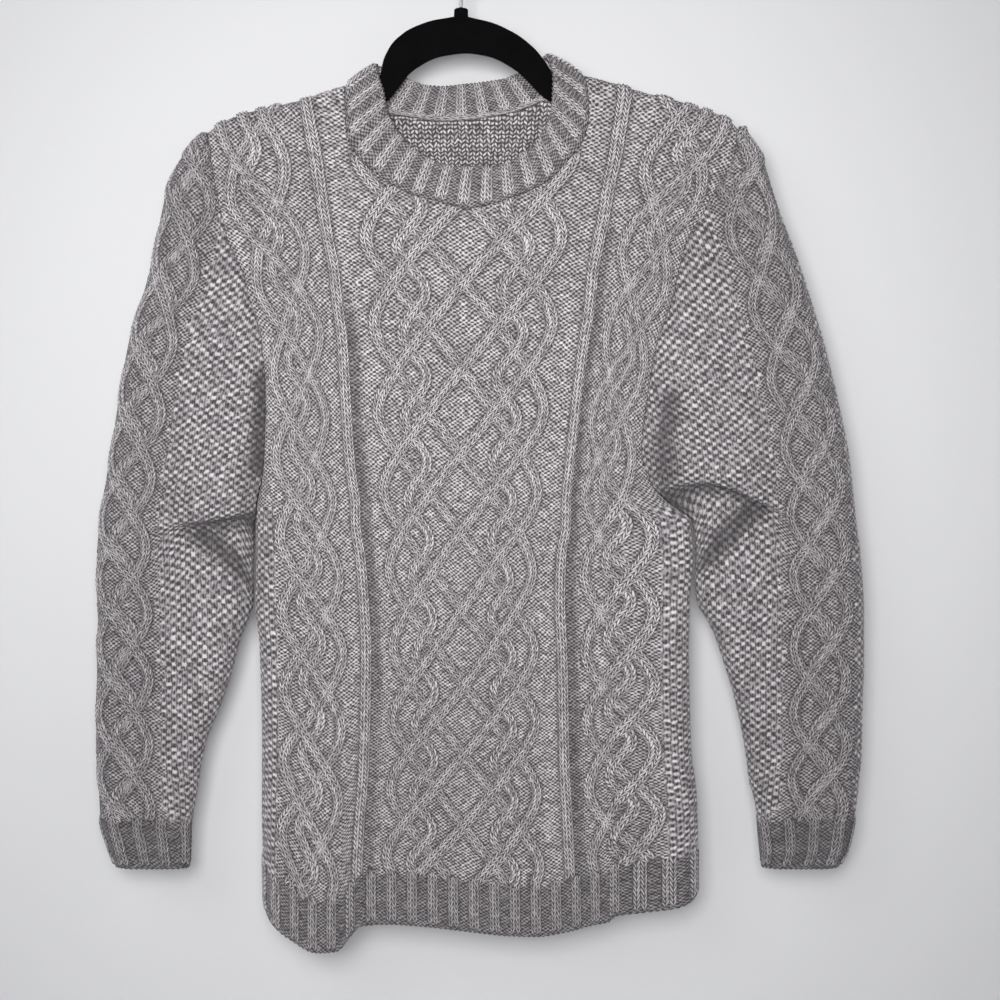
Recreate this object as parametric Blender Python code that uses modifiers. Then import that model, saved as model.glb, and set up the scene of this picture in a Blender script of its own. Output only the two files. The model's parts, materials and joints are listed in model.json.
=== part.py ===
"""Cable knit sweater hanging on a flocked hanger with a wire hook.

Metres, +Z up, the front of the sweater faces -Y.  The origin is inside the top of the
hook, where a rail carries it.  Tables are in millimetres: "drop" is the distance below
the origin, "x" runs across.  The flat knitting has its own chart: stitches across,
and down the chart the drop of each row.
"""
import math

import bpy
import bmesh
import numpy as np
from mathutils.geometry import delaunay_2d_cdt

MM = 0.001
STITCH = 4.6            # width of one stitch in the flat knitting
WALL = 2.7              # plain thickness of the knitted cloth
SEAM_GAP = 0.3          # space between two pieces at a seam
NECK_GAP = 0.45         # the same at the curved neck seam
CORNER_GAP = 1.6        # more of it where the neck seam runs over the shoulder

CENTRE_HALF = 21.0      # stitches from the middle to a twin column
PLAIT_HALF = 15.0       # stitches from the middle to the edge of the wide plait
EYE_AT = 8.3            # stitches from the middle to a winding strand of the plait
EYE_SWING = 1.9
CABLE_AT = 31.5         # stitches from the middle to a side cable
CABLE_HALF = 5.6
CABLE_SWING = 1.7       # swing of the strand that winds down a side cable
EDGE_STITCH = 44.5      # stitches from the middle to the side seam
ARM_STITCH = 39.5       # the same at the shoulder
CABLE_RISE = 2.3        # how far the cables stand up
COLUMN_RISE = 1.9       # how far the twin columns stand up
CROSSING_RISE = 0.6     # extra height where two strands cross
RIB_RISE = 1.5          # how far the knit ribs stand up
RIB_START = 0.35        # share of that rise at the first row of a rib
RIB_FULL = 15.0         # a rib has its full rise this far above the edge
STRAND_HALF = 6.2       # half the foot width of one raised strand
STRAND_STEP = 28.0      # spacing of the points along a strand
FILL_STEP = 31.0        # spacing of the points on plain ground
LINING_STEP = 56.0      # spacing of the points on the plain inside
BODY_SLACK = 1.9        # how far a flat face may stray from the curved cloth
SLEEVE_SLACK = 2.2
REFINE_GAP = 5.0        # least distance between points
REFINE_ROUNDS = 6
REFINE_AT = ((0.5, 0.5, 0.0), (0.0, 0.5, 0.5), (0.5, 0.0, 0.5), (0.34, 0.33, 0.33))
TIP_START = 1.2         # the sleeve starts this far below the shoulder tip
FRONT_NECK_RIBS = 17
BACK_NECK_RIBS = 11
RIB_STITCHES = 4.0      # two knit, two purl

HEM_DROP = 891.0
HEM_RIB_DROP = 848.0
UNDERARM_DROP = 531.0
SHOULDER_ROUND = 8.0    # half depth of the fold over the hanger
SHOULDER_BLEND = 120.0  # below the ridge the body reaches its full depth
SIDE_ROUND = 24.0       # width of the rounded side edge
SIDE_DEPTH = 20.0

SLEEVE_ROUND = 20.0     # width of the rounded edges of a sleeve
SLEEVE_CABLE_HALF = 23.0
SLEEVE_SWING = 8.0      # swing of the strand that winds down the sleeve cable
CUFF_RIB_DROP = 800.0
CUFF_DROP = 842.0

HANGER_THICK = 5.0
HOOK_WIRE = 3.2
HOOK_RADIUS = 20.0      # inside radius of the crook

ROW = 3.0               # spacing of the points that draw a strand
CHART_TOP = 122.0       # the cables are drawn from this row down
EPS = 1e-6


# ---------------------------------------------------------------- tables

def curve_through(keys, values, at):
    """Smooth curve through the rows of a table, with no overshoot."""
    keys = np.asarray(keys, float)
    values = np.asarray(values, float)
    span = np.diff(keys)
    grade = np.diff(values) / span
    before, after = grade[:-1], grade[1:]
    same = before * after > 0.0
    one = span[:-1] + 2.0 * span[1:]
    two = 2.0 * span[:-1] + span[1:]
    mean = (one + two) / (one / np.where(same, before, 1.0) + two / np.where(same, after, 1.0))
    slope = np.concatenate([grade[:1], np.where(same, mean, 0.0), grade[-1:]])
    at = np.clip(np.asarray(at, float), keys[0], keys[-1])
    row = np.clip(np.searchsorted(keys, at, side="right") - 1, 0, len(span) - 1)
    t = (at - keys[row]) / span[row]
    start = (2 * t**3 - 3 * t**2 + 1) * values[row] + (t**3 - 2 * t**2 + t) * span[row] * slope[row]
    end = (3 * t**2 - 2 * t**3) * values[row + 1] + (t**3 - t**2) * span[row] * slope[row + 1]
    return start + end


class Table:
    """A short table with named columns; the first column is the key."""

    def __init__(self, names, rows):
        self.names = names.split()
        self.rows = np.array(rows, float)

    def at(self, name, key):
        return curve_through(self.rows[:, 0], self.rows[:, self.names.index(name)], key)


# Where the seams, side cables and twin columns hang.
BODY = Table("drop right_edge right_cable right_column left_column left_cable left_edge", [
    (153, -230, -183, -141, 147, 212, 252),
    (182, -227, -190, -135, 142, 208, 248),
    (207, -224, -192, -130, 138, 201, 244),
    (234, -219, -182, -126, 132, 190, 228),
    (261, -213, -172, -122, 128, 179, 214),
    (283, -207, -166, -118, 123, 172, 201),
    (310, -194, -158, -113, 118, 164, 194),
    (333, -188, -153, -111, 116, 158, 189),
    (373, -177, -146, -106, 110, 148, 175),
    (423, -174, -142, -103, 104, 137, 166),
    (468, -175, -140, -100, 99, 131, 161),
    (495, -178, -138, -97, 96, 130, 168),
    (517, -183, -136, -94, 94, 131, 188),
    (531, -184, -135, -94, 94, 132, 206),
    (567, -184, -132, -89, 89, 135, 209),
    (606, -185, -130, -86, 88, 137, 206),
    (648, -181, -129, -84, 90, 137, 205),
    (747, -179, -130, -86, 92, 138, 207),
    (801, -179, -133, -90, 95, 140, 212),
    (846, -178, -135, -92, 97, 141, 213),
    (891, -177, -135, -92, 98, 141, 213),
])

# Stitches from the middle to the edge, and how far the edge is turned to the side.
EDGE = Table("drop stitches turn", [
    (150, ARM_STITCH, 40),
    (459, ARM_STITCH, 40),
    (495, 41.0, 52),
    (517, 43.2, 74),
    (531, EDGE_STITCH, 90),
    (891, EDGE_STITCH, 90),
])

DEPTH = Table("drop front back", [
    (120, 9, 9),
    (200, 14, 12),
    (260, 18, 15),
    (350, 21, 17),
    (500, 22, 18),
    (650, 23, 19),
    (800, 25, 20),
    (891, 27, 21),
])

# Top line of the shoulders, over the hanger.
RIDGE = Table("x drop", [
    (-235, 189), (-227, 182), (-216, 174), (-197, 166), (-179, 161), (-155, 156),
    (-143, 153), (-127, 147), (-105, 140), (-55, 126), (0, 119), (62, 120),
    (111, 131), (144, 140), (163, 146), (192, 153), (207, 158), (229, 165),
    (241, 171), (248, 178), (256, 188),
])

NECK_FRONT = Table("x drop", [
    (-105, 140), (-104, 162), (-103, 181), (-92, 206), (-71, 225), (-42, 241),
    (-16, 248), (5, 253), (24, 250), (46, 243), (79, 227), (95, 210),
    (109, 192), (115, 169), (114, 148), (111, 131),
])
NECK_BACK = Table("x drop", [
    (-105, 140), (-98, 150), (-86, 157), (-66, 164), (-41, 168), (-16, 171),
    (21, 168), (57, 160), (78, 151), (94, 142), (111, 131),
])
BAND_FRONT = Table("x drop", [
    (-77, 120), (-74, 133), (-70, 146), (-66, 165), (-53, 188), (-27, 208),
    (-5, 215), (30, 215), (57, 202), (76, 179), (82, 157), (83, 135), (78, 111),
])
BAND_BACK = Table("x drop", [
    (-77, 120), (-50, 132), (-31, 138), (-18, 139), (2, 137), (21, 135),
    (39, 132), (50, 128), (78, 111),
])

# How far each part of the hem hangs below its row.
HEM_SAG = Table("stitches sag", [
    (-44.5, -23), (-41, -7), (-36, 8), (-30, 20), (-25, 19), (-22, 6), (-20, -2),
    (-15, -3), (-8, -1), (0, 3), (8, 7), (14, 8), (20, 4), (24.5, -1), (29, -6),
    (30.5, -11), (35, -13), (40, -18), (43, -25), (44.5, -31),
])
SAG_FADE = Table("drop share", [(500, 0.0), (640, 0.12), (760, 0.5), (848, 0.95), (891, 1.0)])

# Folds: from one chart point to another, half width and height (+ stands forward).
FOLD_COLUMNS = "stitch_a drop_a stitch_b drop_b width height"
FRONT_FOLDS = Table(FOLD_COLUMNS, [
    (-18.4, 380, -18.3, 690, 11, -3.6),
    (-18.3, 690, -18.2, 900, 12, -2.8),
    (-27.0, 700, -28.0, 930, 26, 11.0),
    (-40.0, 640, -37.0, 900, 16, 4.0),
    (24.0, 330, 23.8, 640, 11, -3.5),
    (23.8, 640, 24.4, 880, 11, -2.6),
    (29.5, 760, 30.2, 900, 10, 5.0),
    (35.5, 770, 36.0, 900, 10, -3.0),
    (-6.0, 560, 10.0, 860, 30, 4.0),
    (0.0, 280, 2.0, 420, 40, 3.0),
    (-31.0, 250, -33.0, 470, 24, 4.0),
    (33.0, 240, 31.0, 430, 22, 3.5),
    (-38.0, 500, -42.0, 600, 12, -4.0),
    (38.0, 480, 40.0, 600, 12, -3.5),
])
BACK_FOLDS = Table(FOLD_COLUMNS, [
    (-19.0, 330, -20.0, 880, 12, -3.0),
    (19.5, 360, 18.5, 860, 12, -3.2),
    (-3.0, 520, -7.0, 880, 34, 4.5),
    (9.0, 600, 12.0, 900, 20, -3.0),
    (-33.0, 300, -31.0, 560, 26, 4.0),
    (32.0, 260, 34.0, 520, 24, 4.0),
    (-34.0, 700, -30.0, 900, 22, 5.0),
    (31.0, 720, 28.0, 900, 24, 4.0),
    (-38.0, 480, -24.0, 590, 14, -3.0),
    (38.0, 470, 26.0, 580, 14, -3.0),
])

# One cable round is one full bulge on a side of a cable.
BODY_ROUNDS = Table("drop rounds", [
    (120, -1.6), (180, -0.9), (248, 0), (324, 1), (401, 2), (476, 3), (545, 4),
    (614, 5), (680, 6), (741, 7), (803, 8), (864, 9), (900, 9.6),
])
SLEEVE_ROUNDS = Table("drop rounds", [
    (176, -0.2), (252, 1), (318, 2), (380, 3), (440, 4), (498, 5), (556, 6),
    (613, 7), (673, 8), (732, 9), (788, 10), (842, 11),
])

# Each sleeve: its outer line, the inner line below the underarm, how deep it is,
# and where the middle of its cable lies round the outer edge.
SLEEVE_COLUMNS = "drop outer inner depth cable"
SLEEVE_RIGHT = Table(SLEEVE_COLUMNS, [
    (177, -231, -180, 7, 0),
    (184, -235, -180, 9, 2),
    (194, -242.5, -180, 12, 6),
    (207, -252, -180, 15, 14),
    (235, -264, -180, 18, 28),
    (272, -272, -180, 21, 35),
    (317, -282, -180, 23, 36),
    (371, -298, -180, 24, 36),
    (423, -307, -180, 25, 36),
    (475, -315, -180, 25, 36),
    (531, -324, -186.0, 23, 36),
    (567, -327, -186.6, 21, 36),
    (606, -327, -187.2, 20, 36),
    (618, -326, -191, 20, 36),
    (641, -327, -200, 19, 36),
    (669, -327, -207, 18, 36),
    (696, -328, -216, 17, 36),
    (732, -328, -230, 16, 35),
    (778, -325, -238, 15, 33),
    (802, -324, -242, 14, 32),
    (823, -318, -243, 12, 30),
    (842, -311, -244, 12, 28),
])
SLEEVE_LEFT = Table(SLEEVE_COLUMNS, [
    (173, 252.8, 206, 7, 0),
    (180, 255.5, 206, 9, 4),
    (190, 261.5, 206, 12, 10),
    (198, 267.5, 206, 14, 18),
    (219, 275, 206, 18, 34),
    (253, 286, 206, 21, 44),
    (295, 302, 206, 23, 48),
    (332, 314, 206, 24, 50),
    (379, 328, 206, 25, 52),
    (421, 338, 206, 25, 52),
    (470, 348, 206, 25, 52),
    (531, 355, 208.6, 23, 52),
    (562, 359, 211.4, 21, 52),
    (589, 361, 210.4, 20, 52),
    (606, 362, 213, 20, 52),
    (627, 362, 225, 19, 52),
    (664, 362, 238, 18, 52),
    (691, 361, 246, 17, 50),
    (740, 360, 256, 16, 48),
    (764, 358, 259, 15, 47),
    (789, 355, 265, 14, 45),
    (804, 353, 266, 13, 43),
    (826, 348, 268, 12, 40),
    (842, 340, 270, 12, 38),
])

# The underarm pouch rolls under along this edge ("across" runs 0 outside to 1 at the seam).
POUCH_RIGHT = Table("across edge", [(0.3, 533), (0.6, 531), (0.8, 526), (1.0, 517)])
POUCH_LEFT = Table("across edge", [(0.3, 527), (0.5, 516), (0.75, 496), (1.0, 500)])
POUCH_FORWARD = 17.0
POUCH_REJOIN = 100.0
POUCH_PROFILE = Table("row lift inward", [
    (-8.5, 0, 0), (0, 0.8, 3.0), (8.5, 5.9, 10), (14.5, 11.3, 15.5), (21, 14.8, 19.8), (28, 15.6, 22),
])

SLEEVE_FOLD_COLUMNS = "across_a drop_a across_b drop_b width height"
SLEEVE_FOLDS_RIGHT = Table(SLEEVE_FOLD_COLUMNS, [
    (0.60, 548, 0.98, 606, 14, -8.0),
    (0.62, 585, 0.95, 640, 12, 4.0),
    (0.93, 400, 0.95, 500, 9, -7.0),
    (0.55, 250, 0.50, 420, 22, 3.5),
    (0.35, 640, 0.55, 800, 20, 3.0),
    (-0.55, 420, -0.90, 560, 16, -6.0),
    (-0.50, 300, -0.62, 470, 24, 4.0),
    (-0.45, 620, -0.60, 790, 18, 3.5),
    (-0.75, 560, -0.95, 620, 14, 4.0),
])
SLEEVE_FOLDS_LEFT = Table(SLEEVE_FOLD_COLUMNS, [
    (0.50, 520, 0.98, 580, 14, -8.0),
    (0.60, 560, 0.92, 620, 12, 4.0),
    (0.86, 425, 0.88, 500, 7, -8.0),
    (0.60, 240, 0.55, 390, 22, 3.5),
    (0.40, 640, 0.55, 790, 20, 3.0),
    (-0.52, 400, -0.90, 540, 16, -6.0),
    (-0.48, 290, -0.60, 450, 24, 4.0),
    (-0.40, 600, -0.60, 780, 18, 3.5),
    (-0.78, 540, -0.95, 610, 14, 4.0),
])

HANGER_OUTLINE = Table("x drop", [
    (-202, 173), (-140, 156.4), (-84, 141.4), (-75, 137), (-72.5, 130), (-70, 116),
    (-62, 101), (-48, 89.5), (-28, 81.5), (-7, 78.2), (-6.3, 77.6), (-6.3, 70), (6.3, 70),
    (6.3, 77.6), (7, 78.4), (30, 83.5), (52, 94.5), (68, 108), (78, 122), (83, 131),
    (90, 133.2), (192, 157.5), (232, 171.2), (238, 177.5), (234, 186), (160, 173), (92, 160),
    (74, 151), (62, 138), (51, 127), (30, 114.5), (5, 110), (-24, 114.5), (-45, 127),
    (-55, 140), (-66, 154), (-84, 163), (-140, 174), (-202, 187), (-207, 180),
])


# ---------------------------------------------------------------- the hung shape

def smooth(t):
    t = np.clip(t, 0.0, 1.0)
    return t * t * (3.0 - 2.0 * t)


def quarter_arc(a, b):
    return math.pi / 2.0 * np.sqrt((a * a + b * b) / 2.0)


SIDE_ARC = float(quarter_arc(SIDE_ROUND, SIDE_DEPTH))
RIDGE_ARC = float(quarter_arc(SHOULDER_ROUND, SHOULDER_ROUND))


def fold_height(folds, first, second, scale, a, b):
    """Sum of soft ridges and troughs, each along a line on the chart."""
    total = np.zeros(np.shape(a))
    for a0, b0, a1, b1, width, height in folds.rows:
        along = np.array([(a1 - a0) * scale, b1 - b0])
        px = (a - a0) * scale
        py = b - b0
        t = (px * along[0] + py * along[1]) / (along @ along)
        tc = np.clip(t, 0.0, 1.0)
        gap = (px - tc * along[0]) ** 2 + (py - tc * along[1]) ** 2
        ends = smooth((t + 0.25) / 0.35) * smooth((1.25 - t) / 0.35)
        total = total + height * ends * np.exp(-gap / (width * width))
    return total


def edge_lines(drop):
    """Positions along the cloth of the six chart lines at this drop."""
    turn = np.radians(EDGE.at("turn", drop))
    bend = SIDE_ARC * turn / (math.pi / 2.0)
    right_flat = BODY.at("right_edge", drop) + SIDE_ROUND * np.sin(turn)
    left_flat = BODY.at("left_edge", drop) - SIDE_ROUND * np.sin(turn)
    return right_flat, left_flat, bend


def chart_nodes(drop):
    right_flat, left_flat, bend = edge_lines(drop)
    edge = EDGE.at("stitches", drop)
    stitches = [-edge, -CABLE_AT + 0 * edge, -CENTRE_HALF + 0 * edge,
                CENTRE_HALF + 0 * edge, CABLE_AT + 0 * edge, edge]
    across = [right_flat - bend, BODY.at("right_cable", drop), BODY.at("right_column", drop),
              BODY.at("left_column", drop), BODY.at("left_cable", drop), left_flat + bend]
    return stitches, across, right_flat, left_flat


def pieces_along(key, keys, values):
    """Straight-line interpolation where every point has its own nodes."""
    out = values[0] + (key - keys[0]) * (values[1] - values[0]) / (keys[1] - keys[0])
    for i in range(1, len(keys) - 1):
        rate = (values[i + 1] - values[i]) / (keys[i + 1] - keys[i])
        out = np.where(key > keys[i], values[i] + (key - keys[i]) * rate, out)
    return out


def body_point(face, stitch, drop):
    """Outer ground of the front (face -1) or back (face +1), in millimetres."""
    stitch = np.asarray(stitch, float)
    drop = np.asarray(drop, float)
    stitches, across, right_flat, left_flat = chart_nodes(drop)
    q = pieces_along(stitch, stitches, across)
    over_right = np.maximum(right_flat - q, 0.0) / SIDE_ARC * (math.pi / 2.0)
    over_left = np.maximum(q - left_flat, 0.0) / SIDE_ARC * (math.pi / 2.0)
    x = np.clip(q, right_flat, left_flat)
    x = x - SIDE_ROUND * np.sin(over_right) + SIDE_ROUND * np.sin(over_left)
    side = np.cos(over_right) * np.cos(over_left)
    ridge = RIDGE.at("drop", x)
    height = np.clip(drop - (ridge + SHOULDER_ROUND - RIDGE_ARC), 0.0, None)
    bend = np.clip(1.0 - height / RIDGE_ARC, 0.0, 1.0) * (math.pi / 2.0)
    hung = np.where(bend > 0.0, ridge + SHOULDER_ROUND * (1.0 - np.sin(bend)), drop)
    full = DEPTH.at("front" if face < 0 else "back", drop)
    blend = smooth((drop - ridge) / SHOULDER_BLEND)
    depth = SHOULDER_ROUND + (full - SHOULDER_ROUND) * blend
    folds = FRONT_FOLDS if face < 0 else BACK_FOLDS
    depth = depth + blend * fold_height(folds, "stitch", "drop", STITCH, stitch, drop)
    y = face * (SEAM_GAP / 2.0 + depth * side * np.cos(bend))
    sag = HEM_SAG.at("sag", stitch) * SAG_FADE.at("share", drop)
    return np.stack([x, y, -(hung + sag)], axis=-1)


def outward(surface, turn, a, b):
    """Unit normal of a surface function; turn is +1 or -1 so that it points out."""
    step = 0.5
    da = surface(a + step, b) - surface(a - step, b)
    db = surface(a, b + step) - surface(a, b - step)
    normal = turn * np.cross(da, db)
    return normal / np.maximum(np.linalg.norm(normal, axis=-1, keepdims=True), 1e-9)


def seam_direction(face, stitch, drop, side_sign):
    """Direction from the outside to the inside of the wall at a seam."""
    x = body_point(face, stitch, drop)[..., 0]
    ridge = RIDGE.at("drop", x)
    height = np.clip(drop - (ridge + SHOULDER_ROUND - RIDGE_ARC), 0.0, None)
    bend = np.clip(1.0 - height / RIDGE_ARC, 0.0, 1.0) * (math.pi / 2.0)
    turn = np.clip((EDGE.at("turn", drop) - 40.0) / 50.0, 0.0, 1.0) * (math.pi / 2.0)
    turn = turn * np.abs(side_sign)
    return np.stack([-side_sign * np.sin(turn), -face * np.cos(turn) * np.cos(bend),
                     -np.sin(bend) * np.cos(turn)], axis=-1)


def sleeve_table(side):
    return SLEEVE_RIGHT if side < 0 else SLEEVE_LEFT


def sleeve_frame(side, face, drop):
    """Ends and lengths of one row of a sleeve, on its front or back."""
    table = sleeve_table(side)
    arm = drop < UNDERARM_DROP
    edge = EDGE.at("stitches", drop)
    end = body_point(face, side * edge, np.minimum(drop, UNDERARM_DROP))
    inner = np.stack([table.at("inner", drop), 0.0 * drop, -drop], axis=-1)
    end = np.where(arm[..., None], end + np.array([side * SEAM_GAP, 0.0, 0.0]), inner)
    outer_x = table.at("outer", drop)
    top = float(table.rows[0, 0])
    outer_drop = drop + 4.6 * np.exp(-(drop - top) / 7.0)
    width = np.abs(outer_x - end[..., 0])
    rounded = np.minimum(SLEEVE_ROUND, 0.45 * width)
    depth = table.at("depth", drop)
    turn = np.where(arm, np.radians(EDGE.at("turn", drop)), math.pi / 2.0)
    bend = quarter_arc(rounded, depth)
    flat = width - rounded - rounded * np.sin(turn)
    total = bend + flat + bend * turn / (math.pi / 2.0)
    return end, outer_x, outer_drop, rounded, depth, turn, bend, flat, total


def sleeve_limits(side, drop):
    """Chart limits of a sleeve row: back edge and front edge."""
    drop = np.asarray(drop, float)
    cable = sleeve_table(side).at("cable", drop)
    front = sleeve_frame(side, -1, drop)[-1]
    back = sleeve_frame(side, 1, drop)[-1]
    return -back - cable, front - cable


def pouch_map(side, across, drop):
    """Lift and forward push of the cloth at the underarm pouch."""
    table = POUCH_RIGHT if side < 0 else POUCH_LEFT
    edge = table.at("edge", np.clip(across, 0.3, 1.0))
    share = smooth((across - 0.36) / 0.24) * smooth((1.0 - across) / 0.17)
    rise = smooth((drop - 340.0) / (edge - 355.0))
    past = drop - edge
    share = share * (1.0 - smooth((past - POUCH_PROFILE.rows[-1, 0]) / POUCH_REJOIN))
    push = POUCH_FORWARD * rise - POUCH_PROFILE.at("inward", past)
    return POUCH_PROFILE.at("lift", past) * share, push * share


def sleeve_point(side, around, drop):
    """Outer ground of a sleeve, in millimetres; around is measured from its cable."""
    around = np.asarray(around, float)
    drop = np.asarray(drop, float) + 0.0 * around
    tau = around + sleeve_table(side).at("cable", drop)
    front = tau >= 0.0
    near = sleeve_frame(side, -1, drop)
    far = sleeve_frame(side, 1, drop)
    pick = [np.where(front[..., None] if np.ndim(n) > np.ndim(front) else front, n, f)
            for n, f in zip(near, far)]
    end, outer_x, outer_drop, rounded, depth, turn, bend, flat, total = pick
    face = np.where(front, -1.0, 1.0)
    u = np.minimum(np.abs(tau), total)
    first = np.clip(u / bend, 0.0, 1.0) * (math.pi / 2.0)
    middle = np.clip(u - bend, 0.0, flat)
    last = np.clip((u - bend - flat) / bend, 0.0, 1.0) * (math.pi / 2.0)
    run = rounded * (1.0 - np.cos(first)) + middle + rounded * np.sin(last)
    x = outer_x - side * run
    level = np.sin(first) * np.cos(last)
    share = u / np.maximum(total, EPS)
    settle = smooth((share - 0.45) / 0.55)
    y = face * depth * level + (end[..., 1] - face * depth * np.cos(turn)) * settle
    x = x + (end[..., 0] - (outer_x - side * (rounded + flat + rounded * np.sin(turn)))) * share
    z = -outer_drop + (end[..., 2] + outer_drop) * smooth(share)
    folds = SLEEVE_FOLDS_RIGHT if side < 0 else SLEEVE_FOLDS_LEFT
    scale = np.maximum(np.abs(outer_x - end[..., 0]), 1.0)
    signed = -face * share
    height = fold_height(folds, "across", "drop", 110.0, signed, drop)
    calm = smooth((1.0 - share) / 0.2) * smooth((drop - 190.0) / 60.0) * smooth(scale / 60.0)
    lift, push = pouch_map(side, np.where(front, share, 0.0), drop)
    y = y + face * (height * calm + push) * np.sqrt(np.clip(level, 0.0, 1.0))
    return np.stack([x, y, z + lift], axis=-1)


# ---------------------------------------------------------------- strands on the chart

def plait(count, middle, half, rounds, start, stop, offset, rounding):
    """Closed plait of equal strands: each swings from side to side in turn."""
    swing = count / 2.0
    reach = math.sqrt((swing / 2.0) ** 2 + rounding**2) - rounding
    drops = np.arange(start, stop, ROW)
    rows = rounds.at("rounds", drops)
    lines = []
    for strand in range(count):
        phase = np.mod((rows - offset - strand) / swing, 2.0)
        phase = np.where(phase > 1.0, 2.0 - phase, phase) * swing
        left = phase < swing / 2.0
        gap = np.where(left, phase, swing - phase)
        bow = (np.sqrt(gap**2 + rounding**2) - rounding) / reach * half
        lines.append(np.stack([middle + np.where(left, bow - half, half - bow), drops], axis=-1))
    return lines


def serpentine(middle, half, rounds, start, stop, offset):
    """One strand that winds gently about a line."""
    drops = np.arange(start, stop, ROW)
    rows = rounds.at("rounds", drops) - offset
    return [np.stack([middle - half * np.cos(2.0 * math.pi * rows), drops], axis=-1)]


def body_strands():
    """Middle lines of the cable strands and of the twin columns on the chart."""
    top = CHART_TOP
    stop = HEM_RIB_DROP - ROW
    lines = plait(6, 0.0, PLAIT_HALF * STITCH, BODY_ROUNDS, top, stop, 0.45, 0.31)
    for side in (-1, 1):
        swing = -side * EYE_SWING * STITCH
        lines += serpentine(side * EYE_AT * STITCH, swing, BODY_ROUNDS, top, stop, 0.55)
        at = side * CABLE_AT * STITCH
        swing = side * CABLE_SWING * STITCH
        lines += plait(3, at, -side * CABLE_HALF * STITCH, BODY_ROUNDS, top, stop, 0.0, 0.38)
        lines += serpentine(at + side * 0.4 * STITCH, swing, BODY_ROUNDS, top, stop, 0.35)
    drops = np.arange(top, stop, ROW)
    columns = [np.stack([side * CENTRE_HALF * STITCH + 0.0 * drops, drops], axis=-1) for side in (-1, 1)]
    return lines, columns


def sleeve_strands(side):
    """Middle lines of the cable strands on the chart of a sleeve."""
    top = float(sleeve_table(side).rows[0, 0])
    stop = CUFF_RIB_DROP - ROW
    lines = plait(3, 0.0, side * SLEEVE_CABLE_HALF, SLEEVE_ROUNDS, top, stop, 0.0, 0.38)
    lines += serpentine(-side * 2.0, side * SLEEVE_SWING, SLEEVE_ROUNDS, top, stop, 0.35)
    return lines


# ---------------------------------------------------------------- planar meshing

def segment_distance(points, a, b):
    """Distance of every point to the nearest of the segments a-b."""
    points = points[:, None, :]
    along = (b - a)[None]
    offset = points - a[None]
    t = np.clip((offset * along).sum(-1) / np.maximum((along * along).sum(-1), EPS), 0.0, 1.0)
    return np.sqrt(((offset - t[..., None] * along) ** 2).sum(-1)).min(axis=1)


def inside(points, loop):
    a = loop
    b = np.roll(loop, -1, axis=0)
    x = points[:, None, 0]
    y = points[:, None, 1]
    cuts = (a[None, :, 1] > y) != (b[None, :, 1] > y)
    slope = (b[:, 0] - a[:, 0]) / np.where(np.abs(b[:, 1] - a[:, 1]) < EPS, EPS, b[:, 1] - a[:, 1])
    return (cuts & (x < a[None, :, 0] + (y - a[None, :, 1]) * slope[None])).sum(1) % 2 == 1


def keep_apart(points, taken, gap):
    """Points that are at least gap from each other and from those taken."""
    kept = [tuple(p) for p in taken]
    out = []
    cells = {}
    for p in kept:
        cells.setdefault((int(p[0] // gap), int(p[1] // gap)), []).append(p)
    for p in points:
        i, j = int(p[0] // gap), int(p[1] // gap)
        near = [q for di in (-1, 0, 1) for dj in (-1, 0, 1) for q in cells.get((i + di, j + dj), [])]
        if all((p[0] - q[0]) ** 2 + (p[1] - q[1]) ** 2 >= gap * gap for q in near):
            cells.setdefault((i, j), []).append(tuple(p))
            out.append(tuple(p))
    return out


def resample(line, step):
    length = np.concatenate([[0.0], np.cumsum(np.linalg.norm(np.diff(line, axis=0), axis=1))])
    count = max(int(round(length[-1] / step)), 1)
    marks = np.linspace(0.0, length[-1], count + 1)
    spots = np.stack([np.interp(marks, length, line[:, 0]), np.interp(marks, length, line[:, 1])], -1)
    return spots, marks, length


def clipped_runs(line, loop, margin):
    a = loop
    b = np.roll(loop, -1, axis=0)
    good = inside(line, loop) & (segment_distance(line, a, b) > margin)
    runs = []
    start = None
    for i, ok in enumerate(list(good) + [False]):
        if ok and start is None:
            start = i
        if not ok and start is not None:
            if i - start > 6:
                runs.append(line[start:i])
            start = None
    return runs


def crossings(runs):
    """Where the strands cross: points with the two directions."""
    found = []
    for i in range(len(runs)):
        for j in range(i + 1, len(runs)):
            p, r = runs[i][:-1], np.diff(runs[i], axis=0)
            q, s = runs[j][:-1], np.diff(runs[j], axis=0)
            den = r[:, None, 0] * s[None, :, 1] - r[:, None, 1] * s[None, :, 0]
            den = np.where(np.abs(den) < EPS, EPS, den)
            gap = q[None] - p[:, None]
            t = (gap[..., 0] * s[None, :, 1] - gap[..., 1] * s[None, :, 0]) / den
            u = (gap[..., 0] * r[:, None, 1] - gap[..., 1] * r[:, None, 0]) / den
            hit = np.argwhere((t >= 0) & (t < 1) & (u >= 0) & (u < 1))
            for m, n in hit:
                at = p[m] + t[m, n] * r[m]
                found.append((i, j, at, r[m] / np.linalg.norm(r[m]), s[n] / np.linalg.norm(s[n])))
    return found


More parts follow.
